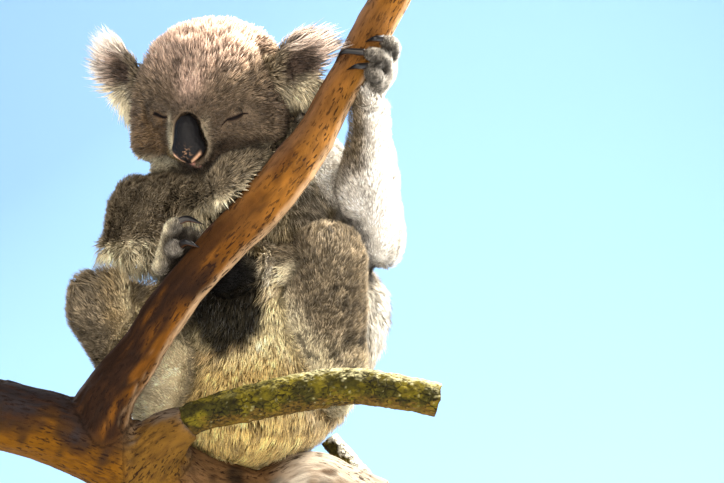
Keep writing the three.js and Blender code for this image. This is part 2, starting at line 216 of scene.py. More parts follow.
def normals_of(corners, triangles):
    a, b, c = (corners[triangles[:, i]] for i in range(3))
    face = np.cross(b - a, c - a)
    total = np.stack([
        sum(np.bincount(triangles[:, i], face[:, axis], len(corners)) for i in range(3)) for axis in range(3)
    ], axis=1)
    return unit(total)


def largest_shell(corners, triangles):
    """The triangles of the biggest connected shell, so that no shell is left inside."""
    a, b = edges_of(triangles, len(corners))
    label = np.arange(len(corners))
    while True:
        low = np.minimum(label[a], label[b])
        new = label.copy()
        np.minimum.at(new, label[a], low)
        np.minimum.at(new, label[b], low)
        new = new[new]
        if (new == label).all():
            break
        label = new
    most = np.bincount(label).argmax()
    kept = label == most
    index = np.cumsum(kept) - 1
    return corners[kept], index[triangles[kept[triangles].all(axis=1)]]


def arrays_of(mesh):
    corners = np.empty(len(mesh.vertices) * 3, np.float32)
    mesh.vertices.foreach_get("co", corners)
    mesh.calc_loop_triangles()
    triangles = np.empty(len(mesh.loop_triangles) * 3, np.int32)
    mesh.loop_triangles.foreach_get("vertices", triangles)
    return corners.reshape(-1, 3).astype(float) / MM, triangles.reshape(-1, 3)


def mesh_from(name, corners, triangles):
    mesh = bpy.data.meshes.new(name)
    mesh.vertices.add(len(corners))
    mesh.vertices.foreach_set("co", (corners * MM).astype(np.float32).ravel())
    mesh.loops.add(triangles.size)
    mesh.loops.foreach_set("vertex_index", triangles.astype(np.int32).ravel())
    mesh.polygons.add(len(triangles))
    mesh.polygons.foreach_set("loop_start", np.arange(0, triangles.size, 3, dtype=np.int32))
    mesh.polygons.foreach_set("use_smooth", np.ones(len(triangles), bool))
    mesh.update(calc_edges=True)
    return mesh


def remeshed(corners, triangles, voxel):
    """One closed surface round everything, from cells of the given size."""
    thing = bpy.data.objects.new("remesh", mesh_from("remesh", corners, triangles))
    bpy.context.collection.objects.link(thing)
    cells = thing.modifiers.new("cells", "REMESH")
    cells.mode = "VOXEL"
    cells.voxel_size = voxel * MM
    evaluated = thing.evaluated_get(bpy.context.evaluated_depsgraph_get())
    result = arrays_of(evaluated.to_mesh())
    evaluated.to_mesh_clear()
    source = thing.data
    bpy.data.objects.remove(thing)
    bpy.data.meshes.remove(source)
    return largest_shell(*result)


def node_arrays(name):
    """A CAD node's corners, shared ones merged, and its triangles."""
    corners, triangles = arrays_of(NODES[name].data)
    whole = np.round(corners, 2)
    shared, index = np.unique(whole, axis=0, return_inverse=True)
    triangles = index.ravel()[triangles]
    real = (triangles[:, 0] != triangles[:, 1]) & (triangles[:, 1] != triangles[:, 2]) & (
        triangles[:, 2] != triangles[:, 0])
    return shared, triangles[real]


def closed(rings, ends, falling=False):
    """A closed surface from rings of corners and a point past each end. Its rings rise, or fall, along it."""
    steps, sides = rings.shape[:2]
    grid = np.arange(steps * sides).reshape(steps, sides)
    here, there = grid[:-1], grid[1:]
    next_here, next_there = np.roll(here, -1, 1), np.roll(there, -1, 1)
    walls = [(here, next_here, next_there), (here, next_there, there)]
    first, last = np.full(sides, steps * sides), np.full(sides, steps * sides + 1)
    caps = [(first, np.roll(grid[0], -1), grid[0]), (last, grid[-1], np.roll(grid[-1], -1))]
    sheets = walls[:: -1 if falling else 1] + caps
    triangles = np.vstack([np.stack(corners, -1).reshape(-1, 3) for corners in sheets])
    return np.vstack([rings.reshape(-1, 3), *ends]), triangles[:, [0, 2, 1]] if falling else triangles


def ball(centre, radii, axes=np.eye(3), rings=20):
    """An ellipsoid; the columns of axes are its own directions."""
    lat = np.linspace(0, np.pi, rings + 1)[1:-1, None]
    lon = np.linspace(0, 2 * np.pi, rings * 2, endpoint=False)[None, :]
    round_ = np.stack([np.sin(lat) * np.cos(lon), np.sin(lat) * np.sin(lon), np.cos(lat) + 0 * lon], axis=-1)
    corners, triangles = closed(round_, ([[0, 0, 1]], [[0, 0, -1]]), falling=True)
    return (corners * np.asarray(radii)) @ np.asarray(axes).T + centre, triangles


def curve(points, steps):
    """Even steps along a centripetal Catmull-Rom curve."""
    points = np.asarray(points, float)
    if len(points) == 2:
        return points[0] + np.linspace(0, 1, steps + 1)[:, None] * (points[1] - points[0])
    ends = np.vstack([2 * points[0] - points[1], points, 2 * points[-1] - points[-2]])
    dense = []
    for p0, p1, p2, p3 in zip(ends, ends[1:], ends[2:], ends[3:]):
        d0, d1, d2 = (max(np.linalg.norm(b - a) ** 0.5, 1e-4) for a, b in ((p0, p1), (p1, p2), (p2, p3)))
        m1 = ((p1 - p0) / d0 - (p2 - p0) / (d0 + d1) + (p2 - p1) / d1) * d1
        m2 = ((p2 - p1) / d1 - (p3 - p1) / (d1 + d2) + (p3 - p2) / d2) * d1
        t = np.linspace(0, 1, 60, endpoint=False)[:, None]
        dense.append(p1 + m1 * t + (3 * (p2 - p1) - 2 * m1 - m2) * t**2 + (2 * (p1 - p2) + m1 + m2) * t**3)
    dense = np.vstack([*dense, points[-1:]])
    length = np.concatenate([[0], np.cumsum(norms(np.diff(dense, axis=0)))])
    even = np.linspace(0, length[-1], steps + 1)
    return np.stack([np.interp(even, length, dense[:, i]) for i in range(3)], axis=1)


def frames_along(path):
    """Tangents of a path, with two directions across it that don't twist."""
    tangent = unit(np.gradient(path, axis=0))
    across = np.zeros_like(path)
    start = np.eye(3)[np.abs(tangent[0]).argmin()]
    across[0] = unit(start - tangent[0] * start.dot(tangent[0]))
    for i in range(1, len(path)):
        across[i] = unit(across[i - 1] - tangent[i] * across[i - 1].dot(tangent[i]))
    return tangent, across, np.cross(tangent, across)


def tube(path, radius, sides, flat=1.0, upward=None):
    """A closed tube. radius is one value for each step; flat squeezes it across upward."""
    tangent, u, w = frames_along(path)
    if upward is not None:
        w = unit(upward - tangent * (upward * tangent).sum(1, keepdims=True))
        u = np.cross(w, tangent)
    angle = np.linspace(0, 2 * np.pi, sides, endpoint=False)
    rings = path[:, None] + radius[:, None, None] * (
        flat * np.cos(angle)[None, :, None] * u[:, None] + np.sin(angle)[None, :, None] * w[:, None])
    return closed(rings, (path[:1], path[-1:]))


def rounded(share, radius, ends):
    """A radius that closes in a half circle over a share of the length at the far end."""
    past = np.clip((share - (1 - ends)) / ends, 0, 0.995)
    return radius * np.sqrt(1 - past**2)


def nearest_of(points):
    tree = KDTree(len(points))
    for i, p in enumerate(points):
        tree.insert(p, i)
    tree.balance()
    return lambda queries: np.array([tree.find(q)[1:] for q in queries]).T


def areas(corners, triangles):
    a, b, c = (corners[triangles[:, i]] for i in range(3))
    return norms(np.cross(b - a, c - a)) / 2


def sampled(weights, triangles, count):
    """Random places on a surface: the corners of the triangle that each is on, and its share of them."""
    pick = rng.choice(len(weights), count, p=weights / weights.sum())
    s, t = rng.random((2, count, 1))
    s, t = np.where(s + t > 1, 1 - s, s), np.where(s + t > 1, 1 - t, t)
    return triangles[pick], np.concatenate([1 - s - t, s, t], axis=1)


def blended(values, corners, share):
    return (values.reshape(len(values), -1)[corners] * share[..., None]).sum(axis=1)


def scattered(corners, triangles, count):
    return blended(corners, *sampled(areas(corners, triangles), triangles, count))


# ---------------------------------------------------------------- the gum tree's fork

TRUNK_LIMB = dict(
    points=[(-262, -90, 358), (-226, -85, 350), (-188, -80, 340), (-139, -68, 322), (-88, -44, 302),
            (-36, -16, 280), (27, 4, 268), (80, 14, 289), (118, 18, 276), (154, 20, 262)],
    radii=[36, 36, 38, 41, 42, 38, 36, 37, 35, 33])
RISING_LIMB = dict(
    points=[(-146, -70, 326), (-131, -82, 371), (-94, -92, 423), (-60, -97, 476), (-15, -97, 529),
            (34, -92, 584), (77, -85, 640), (107, -79, 697), (137, -75, 754), (168, -74, 812),
            (178, -74, 838)],
    radii=[38, 28, 23, 23, 24, 26, 25, 21, 20, 22, 22])
COLLAR = dict(
    points=[(-104, -52, 304), (-82, -74, 322), (-62, -92, 338), (-44, -98, 346)],
    radii=[36, 33, 27, 18])
MOSSY_LIMB = dict(
    points=[(-66, -88, 338), (-32, -99, 353), (18, -103, 365), (72, -106, 376), (124, -106, 383),
            (176, -104, 377), (216, -99, 369)],
    radii=[17, 17, 19, 20, 20, 19, 18, 18])
BROKEN_TWIG = dict(
    points=[(140, 30, 288), (127, 38, 306), (115, 42, 324), (101, 43, 342)],
    radii=[16, 14, 12, 10])
LIMB_STEPS, LIMB_SIDES = 120, 40
LIMBS_APART = 1000  # keeps the grain of one limb off the next one's
GRIP_STEPS = 400


def along_limb(limb, steps):
    path = curve(limb["points"], steps)
    radii = np.interp(np.linspace(0, 1, steps + 1), np.linspace(0, 1, len(limb["radii"])), limb["radii"])
    return path, radii


def limb_tube(limb):
    return tube(*along_limb(limb, LIMB_STEPS), LIMB_SIDES)


RISING_PATH, RISING_RADII = along_limb(RISING_LIMB, GRIP_STEPS)


class Grip:
    """A place on the rising limb. A station is how far along the limb, the angle round it and how far out."""

    def __init__(self, point):
        i = norms(RISING_PATH - point).argmin()
        self.middle, self.radius = RISING_PATH[i], RISING_RADII[i]
        self.along = unit(RISING_PATH[min(i + 1, GRIP_STEPS)] - RISING_PATH[max(i - 1, 0)])
        self.front = unit(np.array([0, -1, 0]) - self.along * -self.along[1])
        self.side = np.cross(self.along, self.front)

    def outward(self, angle):
        a = math.radians(angle)
        return self.front * math.cos(a) + self.side * math.sin(a)

    def station(self, place):
        along, angle, out = place
        return self.middle + self.along * along + self.outward(angle) * (self.radius + out)

    def back(self, points):
        """The back of a finger or claw at each point: away from the limb, and upwards."""
        return unit(0.5 * unit(points - self.middle) + [0, 0, 0.85])


# ---------------------------------------------------------------- paws

PAWS = {
    "hand_left": dict(
        grip=(130, -76, 739), palm=(4, 112, 13), radii=(14, 18, 24), wrist=(143, -58, 703), wrist_radius=14,
        digits=[
            ([(24, 100, 9), (29, 66, 12), (31, 34, 11)], (20, 4, 1)),
            ([(8, 100, 10), (12, 60, 13), (7, 14, 10)], (-13, -62, -1)),
            ([(-10, 100, 11), (-8, 66, 12), (-4, 34, 9)], (-17, -4, 0)),
            ([(14, 120, 12), (18, 150, 10), (16, 180, 9)], (8, 215, 1)),
            ([(-8, 120, 12), (-8, 150, 10), (-10, 180, 9)], (-16, 215, 1)),
        ]),
    "hand_right": dict(
        grip=(99, -79, 682), palm=(0, 200, 14), radii=(14, 19, 25), wrist=(80, -42, 680), wrist_radius=16,
        digits=[
            ([(20, 212, 12), (20, 194, 12), (16, 176, 9)], (6, 146, 1)),
            ([(3, 212, 12), (3, 192, 12), (0, 174, 9)], (-10, 144, 1)),
            ([(-15, 212, 12), (-15, 194, 12), (-18, 176, 9)], (-28, 146, 1)),
            ([(14, 206, 12), (18, 218, 10)], (12, 240, 1)),
            ([(-6, 206, 12), (-4, 218, 10)], (-10, 240, 1)),
        ]),
    "foot_right": dict(
        grip=(-22, -97, 521), palm=(-18, -112, 17), radii=(14, 18, 28), wrist=(-66, -54, 474),
        wrist_radius=18,
        digits=[
            ([(-26, -98, 18), (-12, -88, 26), (4, -76, 28)], (19, -72, 7)),
            ([(-34, -100, 13), (-26, -84, 12), (-14, -68, 11)], (-3, -36, -1)),
            ([(0, -120, 16), (12, -140, 12)], (12, -172, 1)),
            ([(-18, -124, 14), (-10, -148, 11)], (-10, -180, 1)),
            ([(-38, -112, 13), (-46, -84, 11)], None),
        ]),
    "foot_left": dict(
        grip=(-12, -97, 532), palm=(-8, 152, 15), radii=(15, 20, 28), wrist=(30, -52, 512), wrist_radius=18,
        digits=[
            ([(18, 165, 12), (20, 196, 9)], (14, 232, 1)),
            ([(4, 165, 12), (5, 198, 9)], (-2, 234, 1)),
            ([(-12, 165, 12), (-11, 196, 9)], (-18, 232, 1)),
            ([(-27, 165, 12), (-27, 192, 9)], (-34, 228, 1)),
            ([(-14, 150, 12), (-10, 124, 8)], None),
        ]),
}
GRIPS = {name: Grip(paw["grip"]) for name, paw in PAWS.items()}
DIGIT_RADIUS = 7.6
CLAW_RADIUS = 3.9
CLAW_ARCH = 6.0
PALM_INSET = 1.5


def paw_flesh(name):
    paw, grip = PAWS[name], GRIPS[name]
    centre = grip.station(paw["palm"])
    outward = grip.outward(paw["palm"][1])
    axes = np.stack([outward, np.cross(grip.along, outward), grip.along], axis=1)
    radii = np.array(paw["radii"]) - PALM_INSET
    wrist = np.array(paw["wrist"], float)
    pieces = [
        ball(centre, radii, axes),
        tube(curve([centre, wrist], 12), np.linspace(radii[0] * 0.85, paw["wrist_radius"], 13), 24),
        ball(wrist, [paw["wrist_radius"]] * 3),
    ]
    for stations, _ in paw["digits"]:
        path = curve([grip.station(s) for s in stations], 24)
        share = np.linspace(0, 1, 25)
        knuckle = 1 + 0.09 * np.cos(3 * np.pi * share)
        pieces.append(tube(path, rounded(share, DIGIT_RADIUS * knuckle * (1.06 - 0.12 * share), 0.3), 20))
        pieces.append(ball(path[0], [DIGIT_RADIUS] * 3, rings=12))
    return joined(*pieces)


def claw_shape(grip, stations, tip):
    root = np.array(stations[-1], float)
    crest = (root + tip) / 2 + [0, 0, CLAW_ARCH]
    path = curve([grip.station(p) for p in (root, crest, tip)], 28)
    radius = CLAW_RADIUS * (1 - np.linspace(0, 1, 29) ** 1.8) + 0.15
    return tube(path, radius, 20, 0.62, grip.back(path))


# ---------------------------------------------------------------- the head's own frame

HEAD_AXES = turned("Z", HEAD_TURN) @ turned("X", HEAD_BOW) @ turned("Y", HEAD_ROLL)


def on_head(p):
    return np.asarray(p, float) @ HEAD_AXES.T + SKULL


def from_head(p):
    return (p - SKULL) @ HEAD_AXES


def ear_axes(side):
    return HEAD_AXES @ turned("Z", side * 28) @ turned("Y", side * 12)


def ear_centre(side):
    return on_head([side * EAR_PLACE[0], EAR_PLACE[1], EAR_PLACE[2]])


def ear_shell(side):
    """The ear's own flesh: a thin dish, open to the front."""
    corners, triangles = ball(np.zeros(3), [1, 1, 1], rings=40)
    x, y, z = corners.T
    rim = np.clip(1 - x**2 - z**2, 0, 1)
    depth = np.where(y < 0, 7 * rim - 3, 10 * np.sqrt(rim) - 3 * (1 - rim))
    shaped = np.stack([x * EAR_SHELL[0], depth, z * EAR_SHELL[1]], axis=1)
    dish = shaped @ ear_axes(side).T + ear_centre(side), triangles
    stem = curve([ear_centre(side) + ear_axes(side) @ [-side * 6, 4, -6], on_head([side * 58, 8, 8])], 8)
    return joined(dish, tube(stem, np.linspace(13, 24, 9), 24))


# ---------------------------------------------------------------- the skin

VOXEL = 2.85
BODY_VOXEL = 3.6
SWELLING = 0.8  # closes the thin cuts between the CAD's flesh parts
FLESH = list(COAT_DEPTH)

parts = {name: node_arrays(name) for name in FLESH}
swollen = [(c + normals_of(c, t) * SWELLING, t) for c, t in parts.values()]
body, body_triangles = remeshed(*joined(*swollen), BODY_VOXEL)
body_edges = edges_of(body_triangles, len(body))
body = smoothed(body, body_edges, 18)


def nearest_part(points):
    """Which of the flesh parts each point is nearest to."""
    trees = [BVHTree.FromPolygons(c.tolist(), t.tolist()) for c, t in parts.values()]
    return np.array([[tree.find_nearest(p)[3] for tree in trees] for p in points]).argmin(axis=1)


def folds(labels, edges):
    """How far each corner is in a fold between two parts, from 0 to 1."""
    strength = np.zeros((len(FLESH), len(FLESH)))
    for pair, share in FOLDS.items():
        i, j = (FLESH.index(name) for name in pair)
        strength[i, j] = strength[j, i] = share
    a, b = edges
    border = np.zeros(len(labels))
    met = strength[labels[a], labels[b]]
    np.maximum.at(border, a, met)
    np.maximum.at(border, b, met)
    return np.clip(spread(border, edges, 6) / 0.4, 0, 1)


body_label = nearest_part(body)
depth = np.array([COAT_DEPTH[name] for name in FLESH], float)[body_label]
from_nose = norms(from_head(body) - NOSE_PLACE)
head_depth = 3.0 + 7.0 * ramp(from_nose, 38, 105)
depth = np.where(body_label == FLESH.index("head"), head_depth, depth)
depth = spread(depth, body_edges, 14)
body_fold = folds(body_label, body_edges)
body = body - normals_of(body, body_triangles) * (depth + FOLD_DEPTH * body_fold)[:, None]
body = smoothed(body, body_edges, 4)

EXTRA = [*PAWS, "ear_left", "ear_right"]
extra_parts = [paw_flesh(name) for name in PAWS] + [ear_shell(1), ear_shell(-1)]
LABELS = FLESH + EXTRA
skin, skin_triangles = remeshed(*joined((body, body_triangles), *extra_parts), VOXEL)
skin = smoothed(skin, edges_of(skin_triangles, len(skin)), 5)
extra_samples = [scattered(c, t, SAMPLES) for c, t in extra_parts]
label_of_sample = np.concatenate([body_label, np.repeat(np.arange(len(FLESH), len(LABELS)), SAMPLES)])
nearest = nearest_of(np.vstack([body, *extra_samples]))


def finer(corners, triangles, near, cuts):
    """The same surface with smaller triangles where near is true."""
    mesh = mesh_from("finer", corners, triangles)
    shape = bmesh.new()
    shape.from_mesh(mesh)
    chosen = [e for e in shape.edges if near[e.verts[0].index] and near[e.verts[1].index]]
    bmesh.ops.subdivide_edges(shape, edges=chosen, cuts=cuts, use_grid_fill=True)
    bmesh.ops.triangulate(shape, faces=shape.faces)
    shape.to_mesh(mesh)
    shape.free()
    result = arrays_of(mesh)
    bpy.data.meshes.remove(mesh)
    return result


eye_centres = {side: on_head(EYE_PLACE * [side, 1, 1]) for side in EYES}


def on_eye(points, side):
    """Points in an eye's own frame: along the lids' line, out of the face, above it, and from the middle."""
    eye = EYES[side]
    along, out = (unit(HEAD_AXES @ np.array(eye[k])) for k in ("across", "facing"))
    local = points - eye_centres[side]
    a, o, u = local @ along, local @ out, local @ np.cross(out, along)
    return a - eye["middle"], o, u - eye["line"][0] - eye["line"][1] * a**2, norms(local)


def near_any(points, reach):
    return np.min([norms(points - c) for c in eye_centres.values()], axis=0) < reach


skin, skin_triangles = finer(skin, skin_triangles, near_any(skin, 20), cuts=3)
near_line = np.zeros(len(skin), bool)
for side, eye in EYES.items():
    a, o, u, reach = on_eye(skin, side)
    near_line |= (np.abs(a) < eye["half"] + 2) & (np.abs(u) < 2.6) & (o > 0) & (reach < 24)
skin, skin_triangles = finer(skin, skin_triangles, near_line, cuts=1)
near_mouth = norms(skin - on_head([-4, -84, -42])) < 18
skin, skin_triangles = finer(skin, skin_triangles, near_mouth & ~near_any(skin, 24), cuts=1)

slit_share = np.zeros(len(skin))
lid_share = np.zeros(len(skin))
for side, eye in EYES.items():
    out = unit(HEAD_AXES @ np.array(eye["facing"]))
    a, o, u, reach = on_eye(skin, side)
    facing = ramp(o, 0, 4)
    # A shallow socket and the brow above it.
    socket = bell((a, 19), (u, 14)) * facing
    brow = bell((a, 18), (u - 15, 6)) * facing
    skin = skin + out * (brow * 2.6 - socket * 2.4)[:, None]
    # The lids lie over the ball, thicken towards their edges and leave a thin slit, with a bag below and a
    # fold above.
    a, o, u, reach = on_eye(skin, side)
    in_length = 1 - ramp(np.abs(a), eye["half"] - 1.5, eye["half"] + 1)
    open_half = eye["gape"] * np.sqrt(np.clip(1 - (a / eye["half"]) ** 2, 0, 1))
    off_line = np.abs(u)
    near = (1 - ramp(reach, EYE_RADIUS + 5, EYE_RADIUS + 10)) * facing
    over_ball = np.maximum(EYE_RADIUS + 1.3 - reach, 0) * facing
    edge = bell((off_line - open_half - 1.0, 0.9)) * in_length
    bag = bell((u + 4.6, 1.0)) * (1 - ramp(np.abs(a), 7, 11))
    crease = bell((u - 5.2, 1.0)) * (1 - ramp(np.abs(a), 9, 14))
    raised = over_ball + (0.8 * edge - 0.7 * bag - 0.7 * crease) * near
    skin = skin + unit(skin - eye_centres[side]) * raised[:, None]
    slit = ramp(open_half - off_line, -0.4, 0.25) * in_length * near
    skin = skin - out * (slit * eye["depth"])[:, None]
    # The line where they meet is dark, and so is the rim beside it.
    on_line = in_length * facing * (1 - ramp(reach, EYE_RADIUS + 9, EYE_RADIUS + 14))
    shut = bell((np.maximum(off_line - open_half * 0.7, 0), 0.6))
    slit_share = np.maximum(slit_share, np.maximum(slit, shut * on_line))
    lid_share = np.maximum(lid_share, bell((np.maximum(off_line - open_half, 0), 1.0)) * on_line)

# The mouth's line runs under the nose and back along the cheeks.
hx, hy, hz = from_head(skin).T
in_front = ramp(-hy, 50, 62)
mouth_height = -43 + 0.004 * hx**2 - 3.0 * bell((hx, 6))
mouth = bell((hz - mouth_height, 1.5)) * (1 - ramp(np.abs(hx + 4), 9, 14)) * in_front
cleft = bell((hx, 1.4)) * ramp(hz, -43, -40) * (1 - ramp(hz, -36, -32)) * in_front
pad = bell((np.abs(hx) - 11, 8), (hz + 37, 5)) * in_front
skin = skin + HEAD_AXES @ np.array([0, 1, 0]) * (2.4 * mouth + 1.2 * cleft - 1.4 * pad)[:, None]
lip = 0.9 * bell((hx + 6, 6.5), (hz + 43, 3.5)) * in_front
mouth_share = np.clip(mouth * 1.2 + cleft + lip, 0, 1)

skin_edges = edges_of(skin_triangles, len(skin))
skin_normals = normals_of(skin, skin_triangles)
source = nearest(skin)[0].astype(int)
label = label_of_sample[source]
fold = spread(np.concatenate([body_fold, np.zeros(SAMPLES * len(EXTRA))])[source], skin_edges, 2)
print("skin", len(skin), "corners", len(skin_triangles), "triangles")

# ---------------------------------------------------------------- how the coat lies on the skin

IS = {name: label == i for i, name in enumerate(LABELS)}
is_ear = IS["ear_left"] | IS["ear_right"]
is_paw = np.any([IS[name] for name in PAWS], axis=0)
right_arm = IS["forearm_right"] | IS["upper_arm_right"]
left_arm = IS["forearm_left"] | IS["upper_arm_left"]
trunk, head = IS["trunk"], IS["head"]
x, y, z = skin.T
left, front, up = skin_normals[:, 0], -skin_normals[:, 1], skin_normals[:, 2]  # the way each place faces
head_local = from_head(skin)
hx, hy, hz = head_local.T
nose_tip = on_head([0, -96, -8])

lie = np.zeros_like(skin)
down = np.array([0.0, 0.0, -1.0])
for name, (start, end) in BONES.items():
    lie[IS[name]] = unit(np.subtract(end, start))
lie[trunk] = down + 0.35 * unit((skin[trunk] - [36, 30, 0]) * [1, 1, 0])
lie[IS["neck"]] = unit(NECK - on_head([0, 10, 10])) + 0.3 * down
lie[head] = (unit(skin - nose_tip) + 0.15 * down)[head]
for name, paw in PAWS.items():
    # A paw's hair runs from its wrist, and round the limb with its digits.
    grip, wrist, here = GRIPS[name], np.array(paw["wrist"], float), skin[IS[name]]
    palm = grip.station(paw["palm"])
    turn = -np.sign(np.cross(palm - grip.middle, grip.along).dot(palm - wrist) + 1e-6)
    lie[IS[name]] = unit(here - wrist) + 0.3 * unit(np.cross(here - grip.middle, grip.along) * turn)
ear_out, ear_inside, ear_rim, ear_low = np.zeros((4, len(skin)))
for name, side in (("ear_left", 1), ("ear_right", -1)):
    mine, axes = IS[name], ear_axes(side)
    own = (skin - ear_centre(side)) @ axes
    # The fringe fans out from inside the head, and the lower lobe hangs.
    fan = unit(head_local - [side * 62, 2, 12]) * [1, 1, 0.35 if side > 0 else 1.0]
    low_half = ramp(-own[:, 2], 4, 24)
    swept = mixed(unit(fan), np.array([side * 0.15, 0.05, -1.0]), low_half)
    lie[mine] = (unit(swept) @ HEAD_AXES.T)[mine]
    ear_low[mine] = low_half[mine]
    out = np.sqrt((own[:, 0] / EAR_SHELL[0]) ** 2 + (own[:, 2] / EAR_SHELL[1]) ** 2)
    ear_out[mine] = out[mine]
    ear_inside[mine] = ((skin_normals @ axes[:, 1] < -0.1) & (out < 0.76))[mine]
    ear_rim[mine] = ramp(own[:, 0] * side + 0.5 * own[:, 2], -12, 8)[mine]
hangs = ramp(-up, 0.1, 0.6) * right_arm
lie = unit(lie) + hangs[:, None] * [0.0, 0.0, -1.2]
aim = unit(lie)
lie = unit(spread(unit(lie), skin_edges, 16))
lie = unit(lie - skin_normals * (lie * skin_normals).sum(1, keepdims=True))
# On the rim of an ear the fringe stands free of the skin.
aim = unit(aim - skin_normals * np.minimum((aim * skin_normals).sum(1), 0)[:, None])
free = is_ear * ramp(ear_out, 0.55, 0.85)
lie = unit(mixed(lie, aim, free))
face = np.where(head, 1 - ramp(norms(head_local - NOSE_PLACE), 34, 92), 0)

# Short dark creases run up across the thigh and the flank.
across_creases = np.column_stack([(x * 0.87 + z * 0.5) * 0.4, y * 0.4, z * 0.87 - x * 0.5])
crinkle = lattice(across_creases + 5 * lattice(skin, 20, 12)[:, None], 8, 6)
creased = (1 - ramp(np.abs(crinkle), 0.02, 0.22)) * ramp(lattice(skin, 17, 13), -0.3, 0.3)
on_side = IS["thigh_left"] * ramp(x, 45, 80) + 0.6 * trunk * ramp(x, 40, 70)
creased = np.clip(creased * on_side, 0, 1) * ramp(front, -0.3, 0.2)

# How long the coat is, in millimetres.
ear_length = 15 + np.maximum(36 * ear_rim, 22 * ear_low) * ramp(ear_out, 0.6, 0.95)
length = np.select(
    [head, IS["neck"], trunk, is_paw, is_ear, IS["forearm_right"] | IS["forearm_left"],
     IS["shin_right"] | IS["shin_left"]],
    [14 - 9 * face, 17, 19, 6.6, ear_length, 11, 12], 11.5)
length = np.where(is_ear & (ear_inside > 0.5), 12, length)
hanging = (IS["upper_arm_right"] + IS["forearm_right"] * ramp(x, -30, 0)) * ramp(-up, 0.0, 0.5)
length = length + np.where(IS["upper_arm_right"], 20, 8) * hanging
length = length * (1 - 0.55 * fold * (1 - hanging)) * (1 - 0.4 * creased)
length = length + 7 * IS["thigh_right"] * ramp(up, 0.3, 0.8)
length = spread(length, skin_edges, 8)
from_line = np.full(len(skin), 99.0)  # how far each place is from the nearer eye's line
for side, eye in EYES.items():
    a, o, u, reach = on_eye(skin, side)
    off_line = np.hypot(np.maximum(np.abs(a) - eye["half"], 0), u)
    from_line = np.where((o > -4) & (reach < 40), np.minimum(from_line, off_line), from_line)
length = np.minimum(length, 1.3 + 0.38 * from_line)
lean = np.select([is_ear, is_paw, head, trunk], [30, 24, 44, 38], 50.0)  # degrees off the skin
lean = np.where(free > 0.3, 6, lean) - 18 * face + 30 * hanging
lean = spread(lean, skin_edges, 8)

# ---------------------------------------------------------------- markings

# Where the deep shade in the hollow between the belly and the feet is painted.
HOLLOW_PLACE, HOLLOW_RADII = np.array([-10.0, -66.0, 480.0]), np.array([50.0, 70.0, 62.0])
LIMB_POINTS = np.array(RISING_LIMB["points"], float)

GREY, GREY_DARK, WARM_GREY, GREY_LIGHT = "7c6e58", "5d4c3c", "836d57", linear("7c6e58") * 1.25
CREAM, BELLY, WHITE, PINKISH = "f6e6c0", "fbe6b0", "fdf6ea", "dcbba6"
GOLDEN, GOLDEN_DARK, FOLD_SHADOW_BROWN, FACE_BROWN = "e2b860", linear("e2b860") * 0.6, "8f6530", "5c452a"
INNER_EAR, PAW, PAW_PALE, BLACK = "4c3d34", "332c25", "d2c8b8", "000000"
LID, LIP, BARE = "35261e", "a9776a", "0c0706"

past_limb = x - np.interp(z, LIMB_POINTS[:, 2], LIMB_POINTS[:, 0])


def stripe(width, *points):
    """How near the skin is, seen from the front, to the line through places given as (x, z)."""
    near = []
    for start, end in zip(points, points[1:]):
        flat, along = skin[:, [0, 2]] - start, np.subtract(end, start).astype(float)
        share = np.clip(flat @ along / along.dot(along), 0, 1)
        near.append(bell((norms(flat - share[:, None] * along), width)))
    return np.max(near, axis=0)


